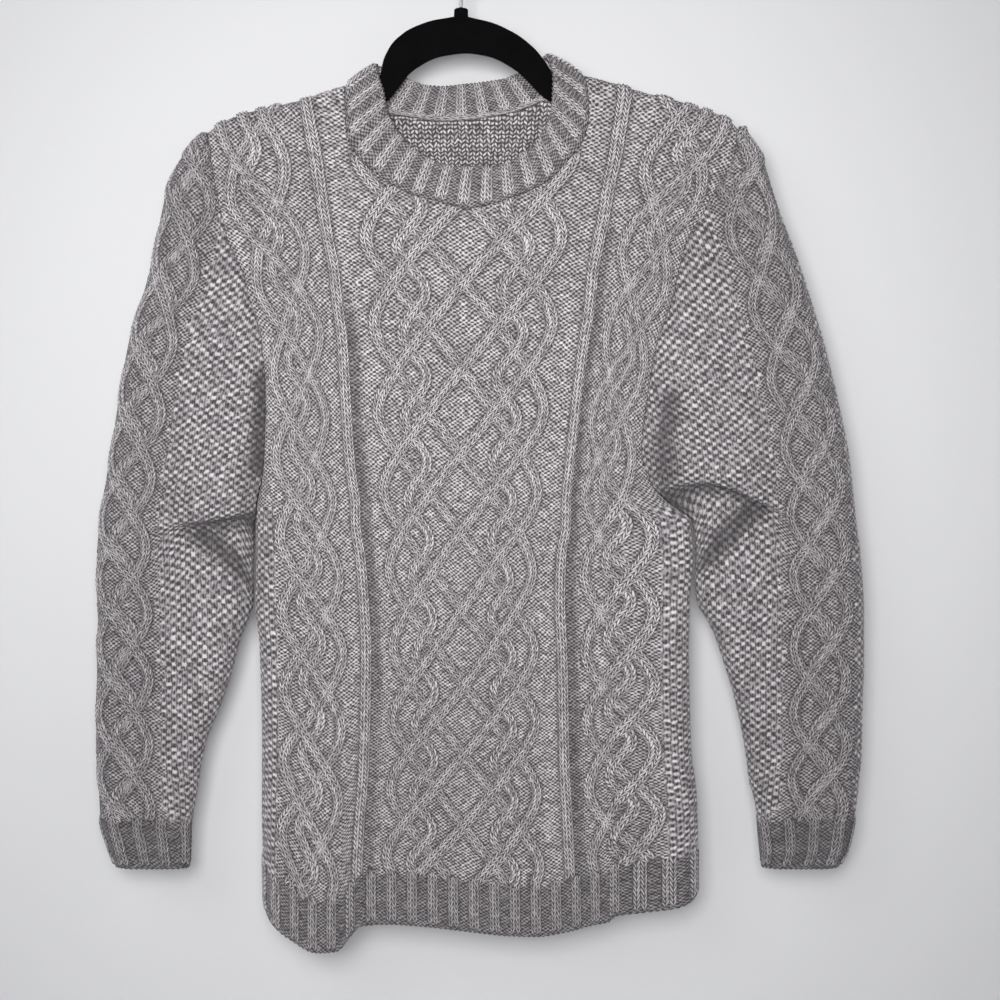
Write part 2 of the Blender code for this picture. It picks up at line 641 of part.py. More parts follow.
class Sheet:
    """Planar points and constraint lines of one piece of cloth."""

    def __init__(self, loop):
        self.loop = np.array(loop, float)
        self.points = [tuple(p) for p in loop]
        self.heights = [0.0] * len(loop)
        self.edges = [(i, (i + 1) % len(loop)) for i in range(len(loop))]

    def add(self, point, height):
        self.points.append((float(point[0]), float(point[1])))
        self.heights.append(height)
        return len(self.points) - 1

    def raise_strands(self, lines, columns, margin):
        runs = [r for line in lines for r in clipped_runs(line, self.loop, margin)]
        count = len(runs)
        runs += [r for line in columns for r in clipped_runs(line, self.loop, margin)]
        hits = crossings(runs)
        marks = []
        spots = []
        for i, j, at, one, two in hits:
            near = [k for k, (p, _) in enumerate(spots) if np.hypot(*(p - at)) < 4.5]
            if near:
                k = near[0]
            else:
                k = len(spots)
                spots.append((at, self.add(at, CABLE_RISE + CROSSING_RISE)))
            marks += [(i, k), (j, k)]
        valleys = []
        for i, line in enumerate(runs):
            rise = CABLE_RISE if i < count else COLUMN_RISE
            step = STRAND_STEP if i < count else STRAND_STEP * 1.4
            samples, at, length = resample(line, step)
            mine = sorted({k for n, k in marks if n == i})
            pins = []
            for k in mine:
                along = np.argmin(np.hypot(*(line - spots[k][0]).T))
                pins.append((length[along], spots[k][1]))
            free = [(m, None, s) for m, s in zip(at, samples)
                    if all(abs(m - p[0]) > 7.5 for p in pins)]
            chain = sorted([(m, index, None) for m, index in pins] + free, key=lambda c: c[0])
            before = None
            for m, index, spot in chain:
                if index is None:
                    index = self.add(spot, rise)
                    k = int(np.clip(np.searchsorted(length, m), 1, len(line) - 1))
                    way = line[k] - line[k - 1]
                    way = np.array([-way[1], way[0]]) / np.linalg.norm(way)
                    valleys += [spot + way * STRAND_HALF, spot - way * STRAND_HALF]
                if before is not None and before != index:
                    self.edges.append((before, index))
                before = index
        for _, _, at, one, two in hits:
            turn = abs(one[0] * two[1] - one[1] * two[0])
            if turn > 0.35:
                reach = STRAND_HALF / turn
                valleys += [at + (one + two) * reach, at - (one + two) * reach,
                            at + (one - two) * reach, at - (one - two) * reach]
        ends = self.edges[len(self.loop):]
        a = np.array([self.points[i] for i, _ in ends])
        b = np.array([self.points[j] for _, j in ends])
        valleys = np.array(valleys)
        bounds = np.roll(self.loop, -1, axis=0)
        ok = inside(valleys, self.loop) & (segment_distance(valleys, self.loop, bounds) > 3.0)
        valleys = valleys[ok]
        valleys = valleys[segment_distance(valleys, a, b) > STRAND_HALF * 0.72]
        for p in keep_apart(valleys, self.points, 5.2):
            self.add(p, 0.0)

    def fill(self, step, gap):
        low = self.loop.min(0)
        high = self.loop.max(0)
        grid = []
        for row, v in enumerate(np.arange(low[1] + step * 0.4, high[1], step * 0.87)):
            for u in np.arange(low[0] + (row % 2) * step * 0.5, high[0], step):
                grid.append((u, v))
        grid = np.array(grid)
        bounds = np.roll(self.loop, -1, axis=0)
        ok = inside(grid, self.loop) & (segment_distance(grid, self.loop, bounds) > gap * 0.6)
        grid = grid[ok]
        for p in keep_apart(grid, self.points, gap):
            self.add(p, 0.0)

    def refine(self, surface, turn, slack):
        """Add points where a flat face strays further than slack from the true surface."""
        bounds = np.roll(self.loop, -1, axis=0)
        for _ in range(REFINE_ROUNDS):
            points, heights, faces, _ = self.triangles()
            faces = np.array(faces)
            shape = surface(points[:, 0], points[:, 1])
            found = []
            for weights in REFINE_AT:
                spot = sum(w * points[faces[:, k]] for k, w in enumerate(weights))
                chord = sum(w * shape[faces[:, k]] for k, w in enumerate(weights))
                lift = sum(w * heights[faces[:, k]] for k, w in enumerate(weights))
                normal = outward(surface, turn, spot[:, 0], spot[:, 1])
                stray = np.abs(((surface(spot[:, 0], spot[:, 1]) - chord) * normal).sum(-1))
                far = stray > slack
                far[far] = segment_distance(spot[far], self.loop, bounds) > 3.0
                found += [(-d, tuple(p), h) for d, p, h in zip(stray[far], spot[far], lift[far])]
            found.sort()
            lifts = {p: h for _, p, h in found}
            added = keep_apart([p for _, p, _ in found], self.points, REFINE_GAP)
            for p in added:
                self.add(p, lifts[p])
            if not added:
                break

    def triangles(self):
        """Triangulate; extra crossing points get the height of a strand."""
        points, _, faces, origins, _, _ = delaunay_2d_cdt(self.points, self.edges, [], 1, 1e-5)
        out = np.array([tuple(p) for p in points])
        heights = np.array([self.heights[o[0]] if o else CABLE_RISE for o in origins])
        order = [o[0] if o else -1 for o in origins]
        return out, heights, [tuple(f) for f in faces], order


# ---------------------------------------------------------------- walls

def closed_wall(name, surface, turn, direction, loop, sheet, lining, material, joined=None):
    """Outer face with its relief, plain inner face and a rim, as one body.

    joined is the chart row below which the two long edges are one seam.
    """
    outer, heights, outer_faces, outer_order = sheet.triangles()
    inner, _, inner_faces, inner_order = lining.triangles()
    count = len(loop)
    normal = outward(surface, turn, outer[:, 0], outer[:, 1])
    centre = surface(outer[:, 0], outer[:, 1])
    skin = centre + normal * heights[:, None]
    inner_normal = outward(surface, turn, inner[:, 0], inner[:, 1])
    back = surface(inner[:, 0], inner[:, 1]) - inner_normal * WALL
    ways = direction(loop)
    outer_rim = {o: k for k, o in enumerate(outer_order) if 0 <= o < count}
    inner_rim = {o: k for k, o in enumerate(inner_order) if 0 <= o < count}
    for i in range(count):
        k = outer_rim[i]
        rim = surface(outer[k, 0:1], outer[k, 1:2])[0]
        skin[k] = rim - ways[i] * heights[k]
        back[inner_rim[i]] = rim + ways[i] * WALL
    vertices = np.concatenate([skin, back]) * MM
    shift = len(skin)
    faces = [tuple(f) for f in outer_faces]
    faces += [tuple(k + shift for k in reversed(f)) for f in inner_faces]
    for i in range(count):
        j = (i + 1) % count
        along = joined is not None and min(loop[i][1], loop[j][1]) > joined - 0.01
        if not (along and abs(loop[i][1] - loop[j][1]) > 0.01):
            faces.append((outer_rim[j], outer_rim[i], inner_rim[i] + shift, inner_rim[j] + shift))
    return make_object(name, vertices, faces, material, joined is not None)


def make_object(name, vertices, faces, material, weld=False):
    mesh = bpy.data.meshes.new(name)
    mesh.from_pydata([tuple(v) for v in vertices], [], faces)
    work = bmesh.new()
    work.from_mesh(mesh)
    if weld:
        bmesh.ops.remove_doubles(work, verts=work.verts, dist=2e-6)
        seen = [f for f in work.faces if f.calc_area() < 1e-14]
        bmesh.ops.delete(work, geom=seen, context="FACES_ONLY")
    bmesh.ops.recalc_face_normals(work, faces=work.faces)
    if work.calc_volume(signed=True) < 0.0:
        bmesh.ops.reverse_faces(work, faces=work.faces)
    bmesh.ops.triangulate(work, faces=work.faces)
    work.to_mesh(mesh)
    work.free()
    thing = bpy.data.objects.new(name, mesh)
    thing.data.materials.append(material)
    COLLECTION.objects.link(thing)
    return thing


# ---------------------------------------------------------------- pieces

def stitch_at(x, drop):
    """Chart stitch of a point at this drop."""
    stitches, across, _, _ = chart_nodes(drop)
    return pieces_along(x, across, stitches)


def chart_drop(x, drop):
    """Chart row of a hung point near the shoulder ridge."""
    ridge = RIDGE.at("drop", x)
    rise = np.clip((drop - ridge) / SHOULDER_ROUND, 0.0, 1.0)
    bend = np.arcsin(1.0 - rise)
    rolled = ridge + SHOULDER_ROUND - RIDGE_ARC * bend / (math.pi / 2.0)
    return np.where(drop - ridge < SHOULDER_ROUND, rolled, drop)


def tip_drop(side):
    """Chart row where the armhole seam reaches the shoulder ridge."""
    drops = np.linspace(165.0, 195.0, 601)
    x = BODY.at("right_edge" if side < 0 else "left_edge", drops)
    gap = np.abs(drops - (RIDGE.at("drop", x) + SHOULDER_ROUND - RIDGE_ARC))
    return float(drops[np.argmin(gap)])


def even_path(table, count):
    """Evenly spaced points along the curve through the rows of a table."""
    rows = table.rows
    keys = np.concatenate([[0.0], np.cumsum(np.linalg.norm(np.diff(rows, axis=0), axis=1))])
    at = np.linspace(0.0, keys[-1], count + 1)
    return np.stack([curve_through(keys, rows[:, 0], at), curve_through(keys, rows[:, 1], at)], -1)


def rib_marks(low, high):
    """Chart positions of the rib tops and rib hollows."""
    half = RIB_STITCHES * STITCH / 2.0
    count = int(round((high - low) / half))
    return np.linspace(low, high, count + 1)


def body_loop(face):
    """Outline of the front or back on the chart, with the kind of each point."""
    ribs = FRONT_NECK_RIBS if face < 0 else BACK_NECK_RIBS
    neck = even_path(NECK_FRONT if face < 0 else NECK_BACK, ribs * 2)
    loop = []
    right_tip = tip_drop(-1)
    left_tip = tip_drop(1)
    for side, tip, neck_x in ((-1, right_tip, neck[0, 0]), (1, left_tip, neck[-1, 0])):
        start = BODY.at("right_edge" if side < 0 else "left_edge", tip)
        xs = np.linspace(start, neck_x, 9)
        if side > 0:
            xs = xs[::-1]
        drops = chart_drop(xs, RIDGE.at("drop", xs))
        stitches = stitch_at(xs, drops)
        part = [(s * STITCH, d) for s, d in zip(stitches, drops)]
        if side < 0:
            part[0] = (-ARM_STITCH * STITCH, tip)
            loop += part[:-1]
            rows = chart_drop(neck[:, 0], neck[:, 1])
            loop += [(s * STITCH, d) for s, d in zip(stitch_at(neck[:, 0], rows), rows)]
        else:
            part[-1] = (ARM_STITCH * STITCH, tip)
            loop += part[1:]
    downs = side_drops(1)
    loop += [(float(EDGE.at("stitches", d)) * STITCH, d) for d in downs[1:]]
    hem_from = len(loop) - 1
    edge = EDGE_STITCH * STITCH
    marks = rib_marks(-edge, edge)[::-1]
    loop += [(m, HEM_DROP) for m in marks[1:]]
    hem_to = len(loop) - 1
    downs = side_drops(-1)[::-1]
    loop += [(-float(EDGE.at("stitches", d)) * STITCH, d) for d in downs[1:-1]]
    return np.array(loop), (hem_from, hem_to), marks


def arm_drops(side):
    """Rows where the body and a sleeve share the points of the armhole seam."""
    start = tip_drop(side) + TIP_START
    near = start + np.array([0.0, 3.0, 7.0, 13.0])
    return np.concatenate([near, np.linspace(near[-1], UNDERARM_DROP, 25)[1:]])


def side_drops(side):
    below = np.linspace(UNDERARM_DROP, HEM_RIB_DROP, 16)[1:]
    return np.concatenate([[tip_drop(side)], arm_drops(side), below, [HEM_DROP]])


def body_piece(name, face, material):
    loop, hem, marks = body_loop(face)

    def surface(c, v):
        return body_point(face, c / STITCH, v)

    def direction(points):
        stitch = points[:, 0] / STITCH
        edge = EDGE.at("stitches", points[:, 1])
        on_edge = np.abs(np.abs(stitch) - edge) < 0.02
        side = np.where(on_edge, np.sign(stitch), 0.0)
        ways = seam_direction(face, stitch, points[:, 1], side)
        low = points[:, 1] > HEM_DROP - 0.1
        ground = -outward(surface, face, points[:, 0], points[:, 1] - 1.0)
        return np.where((low & ~on_edge)[:, None], ground, ways)

    sheet = Sheet(loop)
    for k in range(hem[0] + 1, hem[1]):
        if (k - hem[0]) % 2 == 1:
            sheet.heights[k] = RIB_RISE
    for k in range(1, len(marks) - 1):
        rise = RIB_RISE if k % 2 == 1 else 0.0
        top = sheet.add((marks[k], HEM_RIB_DROP), RIB_START * rise)
        middle = sheet.add((marks[k], HEM_DROP - RIB_FULL), rise)
        sheet.edges += [(top, middle), (middle, hem[0] + k)]
    strands, columns = body_strands()
    sheet.raise_strands(strands, columns, 7.0)
    sheet.fill(FILL_STEP, 12.0)
    sheet.refine(surface, face, BODY_SLACK)
    lining = Sheet(loop)
    lining.fill(LINING_STEP, 20.0)
    lining.refine(surface, face, BODY_SLACK)
    return closed_wall(name, surface, face, direction, loop, sheet, lining, material)


def sleeve_piece(name, side, material):
    tube = np.linspace(UNDERARM_DROP, CUFF_RIB_DROP, 20)[1:]
    downs = np.concatenate([arm_drops(side), tube, [CUFF_DROP]])
    low, high = sleeve_limits(side, downs)
    width = high[-1] - low[-1]
    marks = np.linspace(low[-1], high[-1], 2 * int(round(width / (RIB_STITCHES * STITCH))) + 1)
    loop = [(c, d) for c, d in zip(high, downs)]
    cuff_from = len(loop) - 1
    loop += [(m, CUFF_DROP) for m in marks[::-1][1:]]
    cuff_to = len(loop) - 1
    loop += [(c, d) for c, d in list(zip(low, downs))[::-1][1:]]
    loop = np.array(loop)
    edges = {round(d, 6): (a, b) for d, a, b in zip(downs, low, high)}

    def surface(c, v):
        return sleeve_point(side, c, v)

    def direction(points):
        ways = []
        for c, v in points:
            a, b = edges.get(round(v, 6), (1e9, 1e9))
            rim = abs(c - a) < 1e-6 or abs(c - b) < 1e-6
            face = -1.0 if abs(c - b) < abs(c - a) else 1.0
            if rim and v < UNDERARM_DROP - 0.01:
                stitch = side * float(EDGE.at("stitches", v))
                way = seam_direction(face, np.array(stitch), np.array(v), float(side))
                ways.append(way * np.array([-1.0, 1.0, 1.0]))
            elif rim:
                ways.append(np.array([float(side), 0.0, 0.0]))
            else:
                ways.append(-outward(surface, side, np.array([c]), np.array([v - 1.0]))[0])
        return np.array(ways)

    sheet = Sheet(loop)
    for k in range(cuff_from + 1, cuff_to):
        mark = loop[k, 0]
        share = (mark - low[-1]) / width
        rib_low, rib_high = sleeve_limits(side, np.array([CUFF_RIB_DROP]))
        top_at = float(rib_low[0] + (rib_high[0] - rib_low[0]) * share)
        rise = RIB_RISE if (k - cuff_from) % 2 == 1 else 0.0
        sheet.heights[k] = rise
        top = sheet.add((top_at, CUFF_RIB_DROP), RIB_START * rise)
        middle = sheet.add(((mark * 2.0 + top_at) / 3.0, CUFF_DROP - RIB_FULL), rise)
        sheet.edges += [(top, middle), (middle, k)]
    sheet.raise_strands(sleeve_strands(side), [], 6.0)
    sheet.fill(FILL_STEP, 13.0)
    sheet.refine(surface, side, SLEEVE_SLACK)
    lining = Sheet(loop)
    lining.fill(LINING_STEP, 20.0)
    lining.refine(surface, side, SLEEVE_SLACK)
    return closed_wall(name, surface, side, direction, loop, sheet, lining, material, UNDERARM_DROP)


def neckband_piece(name, material):
    """The ribbed band: a ring of K2 P2 ribs from the neck seam to its free edge."""
    stations = []
    for face, seam, free, ribs, reach in ((-1, NECK_FRONT, BAND_FRONT, FRONT_NECK_RIBS, 13.0),
                                          (1, NECK_BACK, BAND_BACK, BACK_NECK_RIBS, 12.0)):
        count = ribs * 4
        low = even_path(seam, count)
        top = even_path(free, count)
        rows = chart_drop(low[:, 0], low[:, 1])
        stitches = stitch_at(low[:, 0], rows)
        foot = body_point(face, stitches, rows)
        way = seam_direction(face, stitches, rows, 0.0 * stitches)
        for chord in (foot, way):
            chord[1:-1:2] = (chord[:-2:2] + chord[2::2]) / 2.0
        share = np.linspace(0.0, 1.0, count + 1)
        arch = np.sin(math.pi * share) ** 0.3
        lip = np.stack([top[:, 0], face * (reach * arch), -top[:, 1]], -1)
        order = range(count) if face < 0 else range(count, 0, -1)
        stations += [(foot[k], lip[k], way[k]) for k in order]
    foot = np.array([s[0] for s in stations])
    lip = np.array([s[1] for s in stations])
    way = np.array([s[2] for s in stations])
    count = len(stations)
    ring = np.roll(lip, -1, axis=0) - np.roll(lip, 1, axis=0)
    lean = lip - foot
    face_out = np.cross(ring, lean)
    face_out /= np.linalg.norm(face_out, axis=1, keepdims=True)
    face_out = np.where((face_out * -way).sum(1, keepdims=True) < 0, -face_out, face_out)
    levels = (0.0, 0.14, 0.6, 1.0)
    profile = (0.0, 1.0, 1.0, 0.5)
    rib = np.where(np.arange(count) % 4 < 2, 1.0, 0.0)
    start = lean / np.linalg.norm(lean, axis=1, keepdims=True)
    start = start * (NECK_GAP + CORNER_GAP * (1.0 - np.abs(way[:, 1:2])))
    vertices = []
    for level, share in zip(levels, profile):
        mix = smooth(np.array(level))
        normal = -way * (1.0 - mix) + face_out * mix
        normal /= np.linalg.norm(normal, axis=1, keepdims=True)
        base = foot + start + (lip - foot - start) * level
        base = base + face_out * (4.0 * level * (1.0 - level) * 1.5)
        vertices.append(base + normal * (RIB_RISE * share * rib)[:, None])
    for level in (1.0, 0.0):
        mix = smooth(np.array(level))
        normal = -way * (1.0 - mix) + face_out * mix
        normal /= np.linalg.norm(normal, axis=1, keepdims=True)
        base = foot + start + (lip - foot - start) * level
        base = base + face_out * (4.0 * level * (1.0 - level) * 1.5)
        vertices.append(base - normal * WALL)
    rows = len(vertices)
    faces = []
    for r in range(rows):
        for k in range(count):
            n = (k + 1) % count
            s = (r + 1) % rows
            faces.append((r * count + k, r * count + n, s * count + n, s * count + k))
    return make_object(name, np.concatenate(vertices) * MM, faces, material)


def hanger_piece(name, material):
    rows = HANGER_OUTLINE.rows
    mesh = bpy.data.meshes.new(name)
    mesh.from_pydata([(x * MM, 0.0, -drop * MM) for x, drop in rows], [], [tuple(range(len(rows)))])
    thing = bpy.data.objects.new(name, mesh)
    thing.data.materials.append(material)
    COLLECTION.objects.link(thing)
    solid = thing.modifiers.new("thickness", "SOLIDIFY")
    solid.thickness = HANGER_THICK * MM
    solid.offset = 0.0
    edge = thing.modifiers.new("rounded edge", "BEVEL")
    edge.width = 1.5 * MM
    edge.segments = 1
    edge.limit_method = "ANGLE"
    edge.angle_limit = math.radians(60.0)
    return thing


def hook_piece(name, material):
    """Round crook and straight shank, bent from one wire."""
    radius = HOOK_RADIUS + HOOK_WIRE / 2.0
    centre = -HOOK_RADIUS
    points = [(0.0, SEAM_GAP - 70.0), (0.0, -62.0), (0.6, -56.0), (4.0, -50.0), (10.0, -44.5), (15.5, -39.0)]
    for angle in np.radians(range(-35, 216, 15)):
        points.append((radius * math.cos(angle), centre + radius * math.sin(angle)))
    curve = bpy.data.curves.new(name, "CURVE")
    curve.dimensions = "3D"
    curve.bevel_depth = HOOK_WIRE / 2.0 * MM
    curve.bevel_resolution = 1
    curve.use_fill_caps = True
    line = curve.splines.new("POLY")
    line.points.add(len(points) - 1)
    for knot, (x, z) in zip(line.points, points):
        knot.co = (x * MM, 0.0, z * MM, 1.0)
    thing = bpy.data.objects.new(name, curve)
    thing.data.materials.append(material)
    COLLECTION.objects.link(thing)
    return thing


def make_material(name, colour, roughness, metallic=0.0):
    material = bpy.data.materials.new(name)
    material.use_nodes = True
    shader = material.node_tree.nodes["Principled BSDF"]
    shader.inputs["Base Color"].default_value = (*colour, 1.0)
    shader.inputs["Roughness"].default_value = roughness
    shader.inputs["Metallic"].default_value = metallic
    material.diffuse_color = (*colour, 1.0)
    return material


for old in list(bpy.data.objects):
    bpy.data.objects.remove(old, do_unlink=True)

COLLECTION = bpy.data.collections.new("cable_knit_sweater")
bpy.context.scene.collection.children.link(COLLECTION)

yarn = make_material("grey_yarn", (0.30, 0.285, 0.28), 0.9)
flock = make_material("black_flock", (0.012, 0.012, 0.013), 0.95)
steel = make_material("bright_wire", (0.62, 0.62, 0.63), 0.28, 1.0)

body_piece("front", -1, yarn)
body_piece("back", 1, yarn)
sleeve_piece("sleeve_right", -1, yarn)
sleeve_piece("sleeve_left", 1, yarn)
neckband_piece("neckband", yarn)
hanger_piece("hanger", flock)
hook_piece("hook", steel)
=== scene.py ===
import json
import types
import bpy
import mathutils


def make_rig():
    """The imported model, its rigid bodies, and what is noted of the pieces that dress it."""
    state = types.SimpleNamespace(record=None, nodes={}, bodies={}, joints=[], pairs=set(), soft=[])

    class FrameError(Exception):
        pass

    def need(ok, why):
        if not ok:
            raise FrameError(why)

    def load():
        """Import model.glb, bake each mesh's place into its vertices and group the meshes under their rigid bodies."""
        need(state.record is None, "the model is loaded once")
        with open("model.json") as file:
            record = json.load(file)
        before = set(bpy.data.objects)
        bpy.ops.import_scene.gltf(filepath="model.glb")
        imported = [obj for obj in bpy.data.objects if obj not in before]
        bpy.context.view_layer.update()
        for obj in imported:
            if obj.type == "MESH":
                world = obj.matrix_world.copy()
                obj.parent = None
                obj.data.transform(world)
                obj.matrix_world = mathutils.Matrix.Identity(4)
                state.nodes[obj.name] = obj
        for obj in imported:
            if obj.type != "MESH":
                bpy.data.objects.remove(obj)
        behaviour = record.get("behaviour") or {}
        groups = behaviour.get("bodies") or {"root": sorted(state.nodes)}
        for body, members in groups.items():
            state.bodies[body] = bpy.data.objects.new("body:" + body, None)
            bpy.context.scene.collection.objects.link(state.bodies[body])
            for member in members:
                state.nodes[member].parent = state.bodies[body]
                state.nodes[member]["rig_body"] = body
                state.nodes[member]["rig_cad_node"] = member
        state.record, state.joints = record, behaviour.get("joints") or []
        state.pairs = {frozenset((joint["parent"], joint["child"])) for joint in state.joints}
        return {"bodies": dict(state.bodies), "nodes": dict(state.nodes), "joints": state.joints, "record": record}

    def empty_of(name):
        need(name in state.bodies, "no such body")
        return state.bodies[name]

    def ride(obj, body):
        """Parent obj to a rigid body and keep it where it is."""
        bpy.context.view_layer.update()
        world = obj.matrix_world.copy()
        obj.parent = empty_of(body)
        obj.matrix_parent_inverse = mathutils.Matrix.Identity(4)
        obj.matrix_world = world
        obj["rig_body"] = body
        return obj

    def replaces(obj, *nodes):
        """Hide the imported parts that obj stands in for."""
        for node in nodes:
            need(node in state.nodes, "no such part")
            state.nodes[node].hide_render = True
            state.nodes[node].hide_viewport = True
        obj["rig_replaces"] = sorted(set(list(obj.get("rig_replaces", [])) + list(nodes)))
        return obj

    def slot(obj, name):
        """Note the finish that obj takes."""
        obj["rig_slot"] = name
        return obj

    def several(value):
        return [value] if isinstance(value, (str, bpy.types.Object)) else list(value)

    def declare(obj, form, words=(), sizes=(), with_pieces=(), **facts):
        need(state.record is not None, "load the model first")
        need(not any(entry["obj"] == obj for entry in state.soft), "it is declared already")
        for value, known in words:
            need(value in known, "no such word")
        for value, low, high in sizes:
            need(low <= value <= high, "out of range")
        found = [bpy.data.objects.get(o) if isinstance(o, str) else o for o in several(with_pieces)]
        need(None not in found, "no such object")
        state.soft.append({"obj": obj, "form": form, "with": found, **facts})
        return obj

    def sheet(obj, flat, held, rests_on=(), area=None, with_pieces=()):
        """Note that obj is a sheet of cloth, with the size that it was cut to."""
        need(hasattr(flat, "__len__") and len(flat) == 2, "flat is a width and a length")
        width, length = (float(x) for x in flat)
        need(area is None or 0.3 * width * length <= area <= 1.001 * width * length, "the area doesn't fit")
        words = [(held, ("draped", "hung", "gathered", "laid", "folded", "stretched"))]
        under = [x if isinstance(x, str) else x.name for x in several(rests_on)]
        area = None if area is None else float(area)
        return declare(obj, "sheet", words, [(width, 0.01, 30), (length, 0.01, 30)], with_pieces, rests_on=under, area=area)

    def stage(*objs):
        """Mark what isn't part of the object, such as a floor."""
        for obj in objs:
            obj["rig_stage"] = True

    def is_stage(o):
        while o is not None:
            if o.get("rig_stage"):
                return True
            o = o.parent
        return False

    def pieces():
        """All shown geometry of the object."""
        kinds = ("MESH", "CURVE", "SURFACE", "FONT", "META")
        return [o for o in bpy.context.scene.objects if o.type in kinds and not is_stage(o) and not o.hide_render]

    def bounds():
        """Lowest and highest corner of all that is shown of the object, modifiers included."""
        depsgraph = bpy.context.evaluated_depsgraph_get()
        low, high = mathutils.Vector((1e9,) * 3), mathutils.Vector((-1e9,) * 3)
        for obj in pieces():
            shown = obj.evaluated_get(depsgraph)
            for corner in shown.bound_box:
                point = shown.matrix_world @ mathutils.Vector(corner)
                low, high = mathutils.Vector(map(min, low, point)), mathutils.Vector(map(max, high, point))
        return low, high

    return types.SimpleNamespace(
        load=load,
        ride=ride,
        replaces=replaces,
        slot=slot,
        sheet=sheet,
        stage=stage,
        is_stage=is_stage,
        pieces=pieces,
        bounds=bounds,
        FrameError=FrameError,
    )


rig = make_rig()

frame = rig.load()

import json
import math
from functools import partial

import bpy
import bmesh
import numpy as np
from mathutils import Vector
from mathutils.geometry import delaunay_2d_cdt

CAD_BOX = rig.bounds()

bl_info = {
    "name": "Cable knit sweater",
    "version": (1, 0, 0),
    "blender": (4, 5, 0),
    "location": "3D View > Sidebar > Sweater",
    "description": "Knits a cable sweater stitch by stitch on its hanging form",
    "category": "Object",
}

# All in millimetres: "drop" is the distance below the hook's rail, "x" runs across. The
# flat knitting has its own chart: stitches across, and the drop of each row down. In
# pairs, -1 is the front or the wearer's right sleeve, and 1 the back or the left sleeve.
MM = 0.001
STITCH = 4.6            # width of one stitch in the flat knitting
WALL = 2.7              # plain thickness of the knitted cloth
SEAM_GAP = 0.3          # space between two pieces at a seam
NECK_GAP = 0.45         # the same at the curved neck seam
CORNER_GAP = 1.6        # more of it where the neck seam runs over the shoulder

CENTRE_HALF = 21.0      # stitches from the middle to a twin column
PLAIT_HALF = 15.0       # stitches from the middle to the edge of the wide plait
EYE_AT = 8.3            # stitches from the middle to a winding strand of the plait
EYE_SWING = 1.9
CABLE_AT = 31.5         # stitches from the middle to a side cable
CABLE_HALF = 5.6
CABLE_SWING = 1.7       # swing of the strand that winds down a side cable
EDGE_STITCH = 44.5      # stitches from the middle to the side seam
ARM_STITCH = 39.5       # the same at the shoulder
SEED_STITCH = 38.2      # seed stitch runs from here to the side seam
CROSS_REACH = 5.4       # how far along a strand a crossing lifts or sinks it
TIP_START = 1.2         # the sleeve starts this far below the shoulder tip
NECK_RIBS = {-1: 17, 1: 11}     # on the front and on the back
RIB_STITCHES = 4.0      # two knit, two purl
BAND_HIGH = 38.0        # height of the neckband along its ribs

HEM_DROP = 891.0
HEM_RIB_DROP = 848.0
UNDERARM_DROP = 531.0
SHOULDER_ROUND = 8.0    # half depth of the fold over the hanger
SHOULDER_BLEND = 120.0  # below the ridge the body reaches its full depth
SIDE_ROUND = 24.0       # width of the rounded side edge
SIDE_DEPTH = 20.0

SLEEVE_ROUND = 20.0     # width of the rounded edges of a sleeve
SLEEVE_CABLE_HALF = 23.0
SLEEVE_SWING = 8.0      # swing of the strand that winds down the sleeve cable
SLEEVE_PLAIN = 34.0     # reverse side of the knitting shows this far beside the cable
CUFF_RIB_DROP = 800.0
CUFF_DROP = 842.0

HANGER_THICK = 5.0
HOOK_WIRE = 3.2
HOOK_RADIUS = 20.0      # inside radius of the crook

BODY_ROWS = 20          # knitted rows in one round of a body cable
SLEEVE_ROWS = 17        # knitted rows in one round of a sleeve cable
ROW = 1.0               # spacing of the points that draw a strand's path
CHART_TOP = 122.0       # the cables are drawn from this row down
EDGE_STEP = 2.2         # spacing of the points on the outline of a piece
LINING_STEP = 9.0       # spacing of the points on the plain inside
CLEAR = 1.1             # the knitting's grid keeps this far from the outline
SINK = 1.2              # how far the sides of a strand go into the cloth
STRAND_ROW = 1.18       # the stitches of a strand are longer than the rows beside it
POINT_REACH = 1.35      # height of a knit stitch's V, in rows
BESIDE = 4.5            # the cloth is drawn down this far beside a strand's edge
SHADE = 0.62            # painted shade: share of colour lost deep beside a strand or in a fold
ROOM = 3.2              # full relief keeps this far from the outline
SLEEVE_PAINTED_SHADE = 0.7       # painted shade: the sleeves' ground, seed stitch and strands are darkened to these shares
SLEEVE_SEED_PAINTED_SHADE = 0.83
SLEEVE_STRAND_PAINTED_SHADE = 0.72
RIB_PAINTED_SHADE = 0.72         # painted shade: the knit ribs are darkened to this share of their colour
RIB_HOLLOW = 0.9        # how far the cloth between the ribs is drawn down, and how deep its painted shade is
FOLD_DARK = 7.0         # a fold this deep gets the full painted shade
FOLD_OVER = 0.25        # a fold goes on past its ends by this share of its length,
FOLD_SOFT = 0.35        # and fades over this share
FOLD_SPAN = 110.0       # "across" 0 to 1 of a sleeve's fold stands for this length
CAP_LIFT = 4.6          # the top rows of a sleeve droop this much over the shoulder tip,
CAP_FADE = 7.0          # fading over this length
FREE_EDGE = (1.6, 0.4)  # how far the stitches of a free edge stand out, by turns
BAND_EDGE = (1.7, 0.3)  # the same on the neckband
BAND_BOW = 6.0          # the neckband bulges by a quarter of this between its edges
BAND_ROWS = 24
BAND_ROW = 3.7          # length of a stitch in its ribs
SEAM_ROW = 5.2          # and in the ridge of picked-up stitches
NECK_SIGHT = 26         # stitches from the middle where the neck shows the inside
NECK_LOW = 268.0        # and the row down to which it does
LEG_SLANT = 1.35        # slant of the legs of the stitches seen there
LINING_GAP = 3.0        # from those stitches to the plain lining
SIDE_STRAND_AT = 0.4    # stitches from the middle of a side cable to its winding strand
RIB_STEPS = 8           # half stitches in a rib with its hollow
RIB_LAP = 2.0           # the cables and the ribs below them overlap by this
RIB_SHORT = 0.4         # the ribs end this far above the free edge
